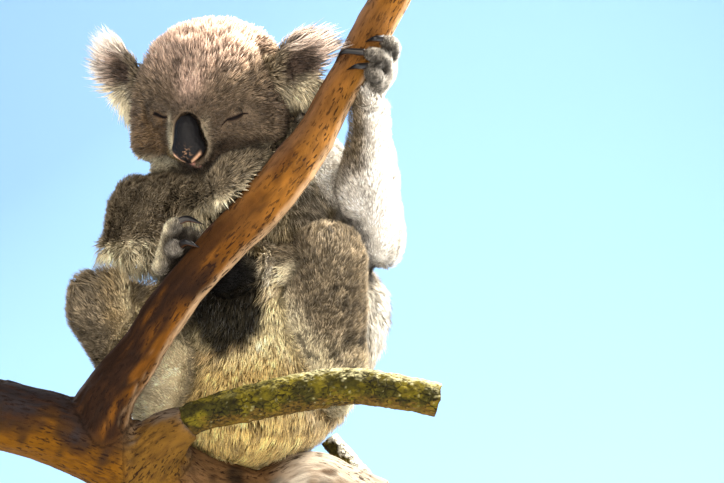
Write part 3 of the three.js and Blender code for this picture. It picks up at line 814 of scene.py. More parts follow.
def body_coats():
    """The belly, the chest, the insides of the limbs and the underside of the rump are pale. Sunlight is
    painted white on the right flank and on the left arm, and shade is painted dark in the body's folds, along
    the belly's fold and over the right arm.
    """
    low_trunk = trunk * ramp(-up, 0.2, 0.7)
    belly = trunk * ramp(front, -0.05, 0.5)
    under = trunk * ramp(-up, 0.15, 0.6) * (0.45 + 0.55 * ramp(front, -0.4, 0.2))
    # The flank that faces right is painted white as sunlight.
    flank = trunk * ramp(left, 0.2, 0.7) * ramp(front + 0.3 * fractal(skin, 22, 2, 14), -0.35, 0.3)
    thigh_edge = 58 - 0.55 * (z - 485)
    inside = {
        "upper_arm_right": np.maximum(ramp(-up, 0.5, 0.8), ramp(-z, -553, -543)),
        "forearm_right": ramp(-up, 0.3, 0.7) * ramp(x, -40, -20),
        "upper_arm_left": ramp(left * 0.7 + front * 0.7, -0.2, 0.4),
        "forearm_left": np.maximum(ramp(left, -0.5, 0.2), ramp(-z, -640, -590)),
        "thigh_right": np.maximum(ramp(left, 0.3, 0.8), ramp(past_limb, 8, 26)),
        "thigh_left": ramp(thigh_edge - x, -16, 18) * ramp(front, -0.4, 0.1) + ramp(-up, 0.5, 0.8),
        "shin_right": ramp(-up, 0.2, 0.6),
        "shin_left": ramp(-up, -0.3, 0.3) * ramp(-x, -80, -50),
    }
    return [
        (WARM_GREY, 0.6 * head),
        (BELLY, np.clip(np.maximum(belly, under), 0, 1) * 0.95),
        (WHITE, flank * 0.8),
        # On the left arm the pale is white and faces right: its pale inner fur, with painted sunlight on it.
        *((WHITE if name.endswith("arm_left") else CREAM, np.clip(share, 0, 1) * IS[name] * 0.95)
          for name, share in inside.items()),
        (GREY_LIGHT, 0.9 * left_arm * ramp(-front, -0.1, 0.4)),
        # Grey on the left-facing side of the left forearm near the wrist: the arm's own grey, kept there as
        # painted shade.
        (GREY, 0.45 * IS["forearm_left"] * ramp(-left, -0.2, 0.4) * ramp(z, 610, 660)),
        (CREAM, 0.35 * IS["thigh_left"] * ramp(-z, -450, -400)),
        (GREY, 0.8 * trunk * ramp(past_limb, 6, 24) * ramp(z, 505, 530) * ramp(front, -0.2, 0.3)),
        (GOLDEN, 0.35 * (IS["shin_right"] + 0.5 * IS["thigh_right"]) * ramp(left, -0.1, 0.5)),
        (GOLDEN_DARK, 0.5 * low_trunk * ramp(front, -0.3, 0.3)),
        (CREAM, 0.5 * low_trunk * ramp(-front, 0.0, 0.4)),
        # The belly is golden low down, and a brownish painted shadow line runs where its skin folds over.
        (GOLDEN, 0.6 * trunk * ramp(-z, -440, -400) * ramp(front, -0.2, 0.4)),
        (CREAM, 0.95 * right_arm * stripe(9, (-26, 566), (14, 584)) * ramp(front, -0.6, -0.1)),
        (FOLD_SHADOW_BROWN, 0.75 * trunk * ramp(front, 0, 0.4) * np.maximum(
            stripe(5, (-62, 432), (-28, 424)), stripe(4, (-28, 424), (13, 438)))),
        # Painted shade: the right arm is darker, except on its underside.
        (BLACK, 0.18 * right_arm * ramp(up, -0.5, -0.1)),
        # Painted shade: the coat is darker in the folds where one part of the body lies on another.
        (BLACK, 0.78 * fold),
    ]


def head_coats():
    """The face is darker and the chin and cheeks are cream. The crown and a patch on the forehead are painted
    pinkish sunlight, and a painted shadow line runs where the cheek lies on the forearm. The ears have pale
    rims.
    """
    on_face = head * ramp(-hy, 20, 44)
    chin = ramp(-hz, 34, 48) * ramp(-hy, 10, 40) * head
    cheek_edge = ramp(np.abs(hx), 74, 92) * ramp(-hz, 0, 26) * head
    near_limb = head * ramp(front, -0.6, -0.2)
    low_left = ramp(-hx, 12, 34) * ramp(-hz, -16, 6) * on_face
    beside_nose = bell((np.abs(hx + 3.4) - 20.5, 2.6)) * ramp(-hz, -14, -2) * ramp(hz, -36, -28) * on_face
    ear_root = bell((np.abs(hx) - 80, 13), (hz - 4, 20)) * ramp(-hy, 0, 24) * head
    return [
        (CREAM, 0.7 * np.maximum(chin * ramp(np.abs(hx), 22, 40), cheek_edge * (hx < 0))),
        # A painted shadow line where the cheek lies on the forearm.
        (BLACK, 0.55 * near_limb * stripe(7, (60, 690), (46, 666))),
        (CREAM, 0.9 * near_limb * stripe(5, (72, 692), (57, 655))),
        (GREY_DARK, 0.55 * face * (1 - chin)),
        (FACE_BROWN, 0.7 * low_left * (1 - chin)),
        (GOLDEN, 0.6 * bell((hx + 24, 7), (hz + 36, 7)) * on_face),
        # Painted sunlight: the crown and a patch on the forehead are pinkish.
        (PINKISH, 0.66 * ramp(hz, 30, 66) * head),
        (PINKISH, 0.85 * bell((hx - 3, 13), (hz - 38, 12)) * on_face),
        (CREAM, beside_nose * np.where(hx < 0, 0.9, 0.3)),
        (INNER_EAR, ear_root * 0.6),
        (PINKISH, is_ear * ramp(ear_out, 0.5, 0.8) * 0.8 * ear_rim),
        (WHITE, is_ear * ramp(ear_out, 0.75, 0.95) * np.where(hx < 0, 0.85, 0.45) * ear_rim),
        (INNER_EAR, ear_inside * 0.95 * (1 - ramp(ear_out, 0.45, 0.8) * 0.55)),
        (CREAM, 0.85 * is_ear * ramp(-hz + EAR_PLACE[2], 4, 20)),
    ]


def paw_coats():
    """Wrists are pale. Knuckles and the paws' upper and right-facing sides carry painted highlight, and the
    clefts between the toes and the hollow by the feet are painted shade.
    """
    sunk = ((spread(skin, skin_edges, 12) - skin) * skin_normals).sum(1)
    outline = stripe(5, (-60, 565), (-71, 553), (-80, 536), (-80, 511))
    hollow = norms((skin - HOLLOW_PLACE) / HOLLOW_RADII) + 0.12 * fractal(skin * [1, 1, 0.5], 12, 2, 8)
    return [
        (PAW, is_paw * 0.95),
        # Painted highlight: pale on the paws' upward and right-facing sides, mixed with pale hairs in noise,
        # and on the knuckles.
        (PAW_PALE, is_paw * 0.42 * ramp(up + 0.5 * left + 0.7 * lattice(skin, 5, 9), 0.3, 1.0)),
        (PAW_PALE, is_paw * 0.35 * ramp(-sunk, 0.7, 1.5)),
        *((CREAM if name.startswith("foot") else PAW_PALE,
           IS[name] * (1 - ramp(norms(skin - paw["wrist"]), 18, 34)) * 0.85) for name, paw in PAWS.items()),
        (CREAM, 0.95 * outline * (IS["foot_right"] | IS["shin_right"]) * ramp(front, -0.5, 0.1)),
        # Painted highlight: white on the right-facing side of the left hand.
        (WHITE, 0.8 * IS["hand_left"] * ramp(left, 0.45, 0.85)),
        # Painted shade: black where the paws' skin is sunk, in the clefts between the digits.
        (BLACK, 0.85 * is_paw * ramp(sunk, 0.0, 0.9)),
        (BLACK, 0.6 * IS["foot_left"] + 0.35 * IS["hand_left"]),
        # Painted shade: black in the hollow between the belly and the feet.
        (BLACK, 0.98 * (1 - ramp(hollow, 0.72, 1.06)) * ramp(past_limb, -60, -20)),
    ]


coat = painted(plain(len(skin), GREY), *body_coats(), *head_coats(), *paw_coats())
coat = painted(spread(coat, skin_edges, 3), (BLACK, 0.72 * creased))
mottle = 0.26 * fractal(skin, 13, 3, 5) * (1 - is_paw) + 0.3 * lattice(skin, 3.5, 7) * is_paw
coat = coat * (1 + mottle)[:, None]
skin_colour = painted(coat * 0.6, (LID, lid_share * 0.9), (BARE, slit_share), (LIP, mouth_share * 0.9))

# ---------------------------------------------------------------- an unwrap of the skin, part by part

COLUMNS = 5
REACH = {"head": (-60, 190), "trunk": (-40, 360), "neck": (-60, 120)}  # from where to where along the axis


def axis_of(name):
    """The start and end of a part's axis."""
    if name in BONES:
        return BONES[name]
    if name in PAWS:
        return PAWS[name]["wrist"], GRIPS[name].middle
    if name.startswith("ear"):
        start = ear_centre(1 if name == "ear_left" else -1)
        return start, start + ear_axes(1)[:, 1] * 10
    if name == "head":
        return on_head([0, 60, 0]), on_head([0, -60, 0])
    return (30, 30, 650), (30, 30, 330)


def unwrap(points, which):
    """Round each part and along it, in a cell of its own. An ear is seen from its front instead."""
    place = np.zeros((len(points), 2))
    for i in np.unique(which):
        name, chosen = LABELS[i], which == i
        start, end = (np.array(p, float) for p in axis_of(name))
        axis = unit(end - start)
        side = unit(np.cross(axis, [0.31, 0.2, 0.93]))
        other = np.cross(axis, side)
        arm = points[chosen] - start
        if name.startswith("ear"):
            cell = np.clip(np.stack([arm @ side, arm @ other], axis=1) / 130 + 0.5, 0, 1)
        else:
            turn = np.arctan2(arm @ other, arm @ side) / (2 * np.pi) + 0.5
            low, high = REACH.get(name, (-90, 230))
            cell = np.stack([turn, np.clip((arm @ axis - low) / (high - low), 0, 1)], axis=1)
        place[chosen] = (np.array([i % COLUMNS, i // COLUMNS]) + 0.04 + 0.92 * cell) / COLUMNS
    return place


# ---------------------------------------------------------------- materials


def material(name, build, **values):
    made = bpy.data.materials.new(name)
    made.use_nodes = True
    shader = made.node_tree.nodes["Principled BSDF"]
    for key, value in values.items():
        shader.inputs[key.replace("_", " ")].default_value = value
    build(made.node_tree, shader)
    return made


def linked(tree, kind, output=0, **inputs):
    """A shader node's output, with its settings and inputs set or joined. _0 is its first input."""
    made = tree.nodes.new(f"ShaderNode{kind}")
    for key, value in inputs.items():
        if hasattr(made, key):
            setattr(made, key, value)
            continue
        socket = made.inputs[int(key[1:])] if key[0] == "_" else made.inputs[key]
        if isinstance(value, bpy.types.NodeSocket):
            tree.links.new(value, socket)
        else:
            socket.default_value = value
    return made.outputs[output]


def kept_on_mesh(tree, name, output="Color"):
    return linked(tree, "Attribute", output, attribute_name=name)


def object_place(tree):
    return linked(tree, "TexCoord", "Object")


def noise_between(tree, place, scale, detail, low, high):
    """Noise in lumps, from 0 below low to 1 above high."""
    noise = linked(tree, "TexNoise", Vector=place, Scale=scale, Detail=detail)
    return linked(tree, "MapRange", _0=noise, _1=low, _2=high, clamp=True)


def times(tree, a, b, operation="MULTIPLY"):
    return linked(tree, "Math", operation=operation, _0=a, _1=b)


def tinted(tree, colour, other, share):
    """The colour, mixed towards another by a share that varies."""
    return linked(tree, "Mix", 2, data_type="RGBA", _0=share, _6=colour, _7=(*linear(other), 1))


def finished(tree, shader, colour, height, strength, distance):
    bump = linked(tree, "Bump", Strength=strength, Distance=distance, Height=height)
    tree.links.new(colour, shader.inputs["Base Color"])
    tree.links.new(bump, shader.inputs["Normal"])


def bumped(scale, strength, distance):
    """A colour read from the mesh, with a fine grain in its surface."""

    def build(tree, shader):
        grain = linked(tree, "TexNoise", Vector=object_place(tree), Scale=scale, Detail=4.0)
        finished(tree, shader, kept_on_mesh(tree, "colour"), grain, strength, distance)

    return build


def barked(speck, patch, streak_dark, crack=None):
    """Bark, with grain along the limb: specks in drifts, streaks, and cracks between plates."""

    def build(tree, shader):
        place = kept_on_mesh(tree, "grain", "Vector")
        drifts = noise_between(tree, place, 45, 3, 0.36, 0.56)
        streaks = noise_between(tree, place, 150, 5, 0.50, 0.72)
        fine = noise_between(tree, place, 900, 4, 0.3, 0.7)
        specks = times(tree, noise_between(tree, place, 420, 2, 0.56, 0.63), drifts)
        colour = tinted(tree, kept_on_mesh(tree, "colour"), streak_dark, times(tree, streaks, patch))
        colour = tinted(tree, colour, speck, times(tree, specks, 0.85))
        height = times(tree, times(tree, fine, 0.35), times(tree, streaks, 0.5), "ADD")
        height = times(tree, height, times(tree, specks, 0.7), "SUBTRACT")
        if crack:
            cells = linked(tree, "TexVoronoi", feature="DISTANCE_TO_EDGE", Vector=place, Scale=crack)
            gap = linked(tree, "MapRange", _0=cells, _1=0.10, _2=0.0, clamp=True)
            gap = times(tree, gap, noise_between(tree, place, 70, 2, 0.4, 0.6))
            colour = tinted(tree, colour, speck, times(tree, gap, 0.8))
            height = times(tree, height, gap, "SUBTRACT")
        finished(tree, shader, colour, height, 0.7, 0.0016)

    return build


def haired(tree, shader):
    """The coat's colour, a little darker in fine drifts."""
    drift = times(tree, noise_between(tree, object_place(tree), 700, 3, 0.42, 0.66), 0.30)
    colour = tinted(tree, kept_on_mesh(tree, "colour"), "1d1712", drift)
    tree.links.new(colour, shader.inputs["Base Color"])


def mottled(base, other, scale, share, stretch=(1, 1, 1), distance=0.0002):
    """Two close colours in fine mottling, with a matching grain in the surface."""

    def build(tree, shader):
        place = linked(tree, "Mapping", Vector=object_place(tree), Scale=stretch)
        lumps = noise_between(tree, place, scale, 4, 0.35, 0.65)
        colour = linked(tree, "RGB")
        colour.default_value = (*linear(base), 1)
        finished(tree, shader, tinted(tree, colour, other, times(tree, lumps, share)), lumps, 0.4, distance)

    return build


MATERIALS = {
    "coat": material("coat", haired, Roughness=0.85, Specular_IOR_Level=0.15),
    "skin": material("skin", bumped(900, 0.4, 0.0006), Roughness=0.8, Specular_IOR_Level=0.1),
    "eye": material("eye", mottled("1c120c", "3a2414", 900, 0.6, distance=0.00002), Roughness=0.12,
                    Specular_IOR_Level=0.3),
    "claw": material("claw", bumped(500, 0.15, 0.0003), Roughness=0.3, Specular_IOR_Level=0.3),
    "nose": material("nose", bumped(420, 0.5, 0.0008), Roughness=0.6, Specular_IOR_Level=0.2),
    "bark": material("bark", barked("1c0f08", 0.6, "38210f"), Roughness=0.85, Specular_IOR_Level=0.08),
    "moss": material("moss", barked("14110a", 0.7, "1f1a08", 150), Roughness=0.95, Specular_IOR_Level=0.1),
    "steel": material("steel", mottled("c2c2c2", "a4a5a6", 160, 1.0, (1, 1, 0.06), 0.00005), Metallic=1.0,
                      Roughness=0.28),
    "stand": material("stand", mottled("2d2b29", "3b3835", 1400, 1.0), Roughness=0.45),
}


def store_colour(mesh, colour):
    stored = mesh.color_attributes.new("colour", "FLOAT_COLOR", "POINT")
    rgba = np.ones((len(colour), 4), np.float32)
    rgba[:, :3] = np.clip(colour, 0, 1)
    stored.data.foreach_set("color", rgba.ravel())


def in_scene(name, data):
    made = bpy.data.objects.new(name, data)
    bpy.context.collection.objects.link(made)
    return made


def piece(name, corners, triangles, look, colour=None, place=None, nodes=(), slot=None, grain=None):
    """A piece of the visual model, which moves with the object."""
    mesh = mesh_from(name, corners, triangles)
    if colour is not None:
        store_colour(mesh, colour)
    if grain is not None:
        stored = mesh.attributes.new("grain", "FLOAT_VECTOR", "POINT")
        stored.data.foreach_set("vector", (grain * MM).astype(np.float32).ravel())
    if place is not None:
        layer = mesh.uv_layers.new(name="OFBake")
        layer.data.foreach_set("uv", place[triangles.ravel()].astype(np.float32).ravel())
    mesh.materials.append(MATERIALS[look])
    made = in_scene(name, mesh)
    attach(made, "root")
    if nodes:
        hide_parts(*nodes)
    return made


piece("koala_skin", skin, skin_triangles, "skin", skin_colour, unwrap(skin, label), LABELS, "fur")

# ---------------------------------------------------------------- eyes, nose, claws

for side, name in ((1, "eye_left"), (-1, "eye_right")):
    corners, triangles = ball(eye_centres[side], [EYE_RADIUS] * 3, rings=24)
    piece(f"{name}_ball", corners, triangles, "eye", nodes=[name], slot="eye")


def nose_shape():
    """The leathery pad, with its nostrils, from the CAD solid."""
    corners, triangles = node_arrays("nose")
    corners, triangles = remeshed(corners, triangles, voxel=0.75)
    corners = smoothed(corners, edges_of(triangles, len(corners)), 60)
    local = from_head(corners - normals_of(corners, triangles) * 0.5)
    hx, _, hz = local.T
    # The pad widens downwards.
    local[:, 0] = (hx + 1.5) * (1 + 0.03 * ramp(-hz, 10, 26) + 0.05 * ramp(hz, -12, 12)) - 3.4
    local[:, 2] = hz - 2.0
    hx, hy, hz = local.T
    ahead = ramp(-hy, 72, 80)
    wing = np.abs(hx + 3.4)
    # Each nostril is a slit under a bare pale rim, and both run in and down.
    off = (hz + 37.9 - 0.8 * (wing - 4)) / 1.28
    span = ramp(wing, 2.5, 5) * (1 - ramp(wing, 14, 17)) * ramp(-hy, 60, 70)
    rim = bell((off - 1.2, 1.8)) * span
    slit = bell((off + 1.9, 1.3)) * span
    middle = bell((hx + 3.4, 1.2)) * ramp(-hz, 18, 28) * ahead
    pebble = lattice(local, 1.7, 22) * ahead
    local[:, 1] += 3.4 * slit - 0.5 * rim + 1.0 * middle + 0.16 * pebble
    near_middle = bell((hx + 4, 7), (hz + 24, 6))
    speck = ramp(fractal(local, 2.2, 2, 21), 0.35, 0.7) * near_middle * ahead
    colour = painted(plain(len(corners), "090708"), ("a07a5c", 0.7 * speck),
                     ("c79b7a", np.clip(rim * 1.15, 0, 1) * 0.95), ("0c0808", ramp(slit, 0.35, 0.8)))
    return on_head(local), triangles, colour


corners, triangles, colour = nose_shape()
piece("nose_pad", corners, triangles, "nose", colour, nodes=["nose"], slot="nose")
nose_solid = BVHTree.FromPolygons(corners.tolist(), triangles.tolist())

for name, paw in PAWS.items():
    grip = GRIPS[name]
    clawed = [d for d in paw["digits"] if d[1]]
    for i, (stations, tip) in enumerate(clawed, 1):
        corners, triangles = claw_shape(grip, stations, tip)
        root = grip.station(stations[-1])
        along = np.clip(norms(corners - root) / 26, 0, 1)
        inner = ramp(-normals_of(corners, triangles) @ grip.back(root), 0.35, 0.8)
        colour = painted(plain(len(corners), "1d1815"), ("080606", ramp(along, 0.1, 0.5)),
                         ("5a3414", 0.6 * inner))
        claw = f"claw_{name}_{i}"
        piece(f"{claw}_horn", corners, triangles, "claw", colour, nodes=[claw], slot="claw")

# ---------------------------------------------------------------- the coat

TOTAL = 246_000
TUFTS_TO_LOCK = 10
WIDTH_SHARE = 0.039  # half a tuft's width, as a share of its length
WIDTHS = (0.29, 0.68)  # the least and the most that half a width is
TUFT_HEIGHT = 0.55  # as a share of half its width
SHORT, LONG = 6.5, 17  # the lengths that part short, middle and long tufts
PIECE_LIMIT = 190_000

bare = np.clip(slit_share + lid_share * 1.2 + mouth_share * 1.1, 0, 1)
wanted = (1 - bare) * (1 + 1.8 * free * np.maximum(ear_rim, ear_low) + 0.9 * is_paw)
wanted = wanted * (1 + 0.2 * (head | right_arm | IS["thigh_left"])) / np.clip(length, 3.5, 30)
weight = areas(skin, skin_triangles) * wanted[skin_triangles].mean(axis=1)
corner_ids, share = sampled(weight, skin_triangles, TOTAL)
root, normal, flow, long_, slope, shade = (
    blended(values, corner_ids, share) for values in (skin, skin_normals, lie, length, lean, coat))
normal, flow, long_, slope = unit(normal), unit(flow), long_[:, 0], slope[:, 0]
root_label = label[corner_ids[:, 0]]

# The lie wanders a little, and tufts lean together in locks. Slopes are in radians from here on.
wander = np.radians(14 * lattice(root, 18, 40) + 12 * lattice(root, 6, 41) + rng.normal(0, 10, TOTAL))
side = np.cross(normal, flow)
flow = unit(flow * np.cos(wander)[:, None] + side * np.sin(wander)[:, None])
slope = np.radians(slope * (1 + 0.3 * lattice(root, 11, 42)) + rng.normal(0, 6, TOTAL))
long_ = long_ * (1 + 0.16 * lattice(root, 10, 43)) * rng.uniform(0.75, 1.12, TOTAL)


def heading(angle):
    return flow * np.cos(angle)[:, None] + normal * np.sin(angle)[:, None]


is_short = long_ < SHORT
is_long = long_ > LONG
root = root - normal * np.where(is_short, 0.4, 1.0)[:, None]
middle = root + heading(slope + 0.28) * (long_ * 0.5)[:, None]
tip = middle + heading(slope - 0.22) * (long_ * 0.5)[:, None]

lock_count = TOTAL // TUFTS_TO_LOCK
locks = rng.choice(TOTAL, lock_count, replace=False)
lock_of = nearest_of(root[locks])(root)[0].astype(int)
leader = locks[lock_of]
lock_tip = tip[leader] - root[leader] + (root + root[leader]) / 2
fringed = np.clip((long_ - 22) / 10, 0, 1)
pull = (np.clip(rng.normal(0.2, 0.08, TOTAL), 0, 0.5) * np.clip(long_ / 14, 0.3, 1) + 0.15 * fringed)[:, None]
tip = tip + (lock_tip - tip) * pull
middle = middle + (lock_tip - tip) * pull * 0.25

# No tuft ends inside a limb of the tree or in the nose.
limb_paths = [along_limb(l, 200) for l in (TRUNK_LIMB, RISING_LIMB, COLLAR, MOSSY_LIMB, BROKEN_TWIG)]
limb_points = np.vstack([path for path, _ in limb_paths])
limb_radii = np.concatenate([radii for _, radii in limb_paths])
to_limb = nearest_of(limb_points)


def clear_of_limbs(points):
    index, distance = to_limb(points)
    return distance > limb_radii[index.astype(int)] * 0.97


kept = clear_of_limbs(tip) & clear_of_limbs(root + normal * 1.5)
for i in np.flatnonzero(norms(from_head(root) - NOSE_PLACE) < 34):
    if nose_solid.find_nearest(Vector(root[i]), 3.0)[3] is not None:
        kept[i] = False
print("tufts", kept.sum(), "of", TOTAL)

furry = ~is_paw[corner_ids[:, 0]]
pale = ramp(shade.mean(axis=1), 0.3, 0.7)
lock_tone = rng.normal(0, 0.42, lock_count)[lock_of]
tone = 0.3 * lattice(root, 5, 50) + lock_tone + rng.normal(0, 0.36, TOTAL)
tone = np.clip(1 + tone * (1 - 0.6 * pale), 0.22, 2.3)[:, None]
frost = np.clip(rng.random(TOTAL) * 2.4 - 1.4, 0, 1)[:, None] * np.where(furry, 1.15, 0.6)[:, None]
root_colour = shade * (0.3 + 0.35 * pale)[:, None] * tone
middle_colour = shade * (0.25 + 0.75 * tone)
tip_colour = shade * (0.1 + 0.9 * tone) * 1.1 + frost * 0.30 * (0.3 + shade)


def spike(r, m, e, ring):
    """A straight tuft: a thin pyramid."""
    corners = [*ring(r, unit(e - r), 1.0), e]
    return corners, [(0, 1, 3), (1, 2, 3), (2, 0, 3), (0, 2, 1)], [0, 0, 0, 2], [0, 1, 2, 6]


def spindle(r, m, e, ring):
    """A tuft that is widest at its bend and pointed at both ends."""
    corners = [r, *ring(m, unit(e - r), 1.0), e]
    pattern = [(2, 1, 0), (3, 2, 0), (1, 3, 0), (1, 2, 4), (2, 3, 4), (3, 1, 4)]
    return corners, pattern, [0, 1, 1, 1, 2], [6, 0, 1, 2, 5]


def lock(r, m, e, ring):
    """A long tuft with a wide root and a bend."""
    corners = [*ring(r, unit(m - r), 0.9), *ring(m, unit(e - r), 0.8), e]
    pattern = [(0, 1, 4), (0, 4, 3), (1, 2, 5), (1, 5, 4), (2, 0, 3), (2, 3, 5), (3, 4, 6), (4, 5, 6),
               (5, 3, 6), (0, 2, 1)]
    return corners, pattern, [0, 0, 0, 1, 1, 1, 2], [0, 1, 2, 3, 4, 5, 6]


PATCH = np.array([[-1, -1], [0, 1], [1, -1], [-0.6, 0], [0, 0.6], [0.6, 0], [0, 0]]) * 0.0015


def tufts(chosen, shape):
    """Thin closed tufts at the chosen roots, with their colours and their places on the unwrap."""
    r, m, e, nrm = root[chosen], middle[chosen], tip[chosen], normal[chosen]
    count = len(chosen)
    wide = np.clip(long_[chosen] * WIDTH_SHARE, *WIDTHS)[:, None] * rng.uniform(0.8, 1.25, (count, 1))

    def ring(centre, ahead, scale):
        across = unit(np.cross(nrm, ahead))
        above = np.cross(ahead, across) * TUFT_HEIGHT
        return [centre + across * wide * scale, centre + above * wide * scale, centre - across * wide * scale]

    corners, pattern, shades, patch = shape(r, m, e, ring)
    per = len(corners)
    corners = np.stack(corners, axis=1).reshape(-1, 3)
    triangles = (np.array(pattern)[None] + (np.arange(count) * per)[:, None, None]).reshape(-1, 3)
    band = (root_colour, middle_colour, tip_colour)
    colour = np.stack([band[i][chosen] for i in shades], axis=1).reshape(-1, 3)
    place = (unwrap(r, root_label[chosen])[:, None] + PATCH[patch][None]).reshape(-1, 2)
    return corners, triangles, colour, place


def coat_pieces(name, chosen, shape, per_tuft):
    share_of = PIECE_LIMIT // per_tuft
    for i in range(0, len(chosen), share_of):
        corners, triangles, colour, place = tufts(chosen[i : i + share_of], shape)
        piece(f"{name}_{i // share_of + 1}", corners, triangles, "coat", colour, place, slot="fur")
    print(name, len(chosen), "tufts", len(chosen) * per_tuft, "triangles")


order = np.flatnonzero(kept)
order = order[np.argsort(root_label[order], kind="stable")]
coat_pieces("coat_long", order[is_long[order]], lock, 10)
coat_pieces("coat_middle", order[~is_long[order] & ~is_short[order]], spindle, 6)
coat_pieces("coat_short", order[is_short[order]], spike, 4)

# ---------------------------------------------------------------- bark and moss


def limb_place(points, limbs):
    """Which limb each point is on, how far along it, and its offset across it."""
    rows = []
    for i, limb in enumerate(limbs):
        line, _ = along_limb(limb, 300)
        _, u, w = frames_along(line)
        run = LIMBS_APART * i + np.arange(len(line)) * np.linalg.norm(line[1] - line[0])
        rows.append((line, u, w, run, np.full(len(line), i)))
    path, u, w, run, which = (np.concatenate(column) for column in zip(*rows))
    index = nearest_of(path)(points)[0].astype(int)
    offset = points - path[index]
    across = np.stack([(offset * u[index]).sum(1), (offset * w[index]).sum(1)], axis=1)
    return which[index], run[index], across


def sawn(colour, points, outward, limb, ends, rings):
    """The colours, with a limb's sawn ends showing the rings of the wood, so many millimetres apart."""
    path, radii = along_limb(limb, LIMB_STEPS)
    share, tone = np.zeros(len(points)), np.zeros(len(points))
    for end in ends:
        away = unit(path[end] - path[1 if end == 0 else -2])
        offset = points - path[end]
        reach = norms(offset - (offset @ away)[:, None] * away)
        here = ramp(outward @ away, 0.55, 0.85) * (np.abs(offset @ away) < 9) * (reach < radii[end] + 6)
        here = here * (1 - ramp(reach, radii[end] - 4, radii[end] - 1.5))
        wave = np.sin(2 * np.pi * (reach + 0.8 * lattice(points, 9, 3)) / rings)
        tone = np.where(here > share, 0.5 + 0.5 * wave, tone)
        share = np.maximum(share, here)
    return mixed(colour, painted(plain(len(points), "cfae7c"), ("93703f", tone)), share)


BARKED = [TRUNK_LIMB, RISING_LIMB, COLLAR]
bark, bark_triangles = remeshed(*joined(*map(limb_tube, BARKED)), voxel=2.2)
bark_edges = edges_of(bark_triangles, len(bark))
bark = smoothed(bark, bark_edges, 8)
which, run, offset = limb_place(bark, BARKED)
grain = np.column_stack([offset, run * 0.28])
rough = np.where(which == 1, ramp(-bark[:, 2], -540, -410), 1.0)
height = 1.4 * fractal(bark, 46, 3, 61) + (0.35 + 1.2 * rough) * fractal(grain, 13, 4, 60)
near_fork = bell((norms((bark - [-118, -80, 372]) * [1, 1, 0.6]), 60))
creases = np.abs(lattice(grain, 9, 63))
height = height - near_fork * (1 - ramp(creases, 0.0, 0.2)) * 2.4
knots = ramp(lattice(bark, 15, 64), 0.62, 0.85) * (which == 0)
bark = bark + normals_of(bark, bark_triangles) * (height - 2.0 * knots)[:, None]
bark_normals = normals_of(bark, bark_triangles)


def bark_colours():
    across_grain = fractal(np.column_stack([offset * 0.22, run]), 10, 3, 77)
    along_grain = fractal(grain, 14, 3, 75)
    cloud = fractal(bark, 24, 3, 71)
    right_face, up_face = bark_normals[:, 0], bark_normals[:, 2]
    x, _, z = bark.T
    # The rising limb is brown and greyer on its upper left side, with a painted sheen along its upper-left
    # edge and a painted pale highlight along its lower right edge; low down it is dark above and golden
    # below.
    upper_left = 0.53 * up_face - 0.85 * right_face
    low_part = ramp(-z, -620, -480)
    rising = painted(
        plain(len(bark), "6e4820"),
        ("85551a", ramp(lattice(bark, 55, 70) - 0.4 * up_face, -0.3, 0.4) * 0.8),
        ("40240e", 0.75 * ramp(cloud + 0.8 * along_grain, 0.05, 0.7)),
        ("6e5038", 0.7 * ramp(upper_left, 0.1, 0.8) * ramp(z, 520, 640)),
        ("8a5c22", 0.6 * ramp(right_face + 0.5 * along_grain, 0.1, 0.8)),
        ("623a0a", 0.85 * low_part),
        ("1b100b", 0.95 * low_part * ramp(upper_left + 0.8 * along_grain, -0.75, 0.05)),
        # Painted sheen along the upper-left edge, and a painted pale highlight along the lower right edge.
        ("4a3c38", 0.6 * ramp(upper_left + 0.1 * cloud, 0.88, 0.98)),
        ("c8aa86", 0.55 * ramp(right_face - 0.5 * up_face, 0.85, 1.05)))
    # The trunk limb is dark grey on top and golden below, with streaks that run down across it, and its right
    # end is pale on top with painted sunlight.
    level = up_face + 0.6 * across_grain
    middle_part = painted(plain(len(bark), "63482c"), ("231b12", 0.9 * ramp(cloud, 0.0, 0.6)))
    lying = painted(plain(len(bark), "6a430a"), ("37230f", ramp(level, -0.7, -0.1)),
                    ("262020", ramp(level, -0.05, 0.4)))
    lying = painted(
        mixed(lying, middle_part, ramp(x, -75, -30)),
        # Painted sunlight: the right end is pale on top.
        ("a89c8a", 0.85 * ramp(x, 30, 80) * ramp(up_face + 0.3 * cloud, -0.1, 0.4)),
        ("3a2a1c", 0.85 * knots))
    collar = painted(plain(len(bark), "644618"), ("5c4f42", ramp(up_face + 0.4 * cloud, 0.0, 0.6)))
    colour = np.where((which == 1)[:, None], rising, np.where((which == 2)[:, None], collar, lying))
    colour = spread(colour, bark_edges, 3)
    # The colours run into each other where the limbs meet.
    here, there = bark_edges
    differ = which[here] != which[there]
    meeting = np.zeros(len(bark))
    meeting[here[differ]] = meeting[there[differ]] = 1
    meeting = np.clip(3 * spread(meeting, bark_edges, 14), 0, 1)
    colour = mixed(colour, spread(colour, bark_edges, 30), meeting)
    colour = painted(colour, ("1f1610", near_fork * 0.75 * (1 - ramp(creases, 0.0, 0.25))))
    colour = colour * (1 + 0.2 * fractal(grain, 5, 2, 74))[:, None]
    for limb, ends in ((TRUNK_LIMB, (0, -1)), (RISING_LIMB, (-1,))):
        colour = sawn(colour, bark, bark_normals, limb, ends, rings=9.0)
    return colour


piece("perch_bark", bark, bark_triangles, "bark", bark_colours(),
      nodes=["perch_trunk_limb", "perch_rising_limb", "perch_collar"], slot="bark", grain=grain)


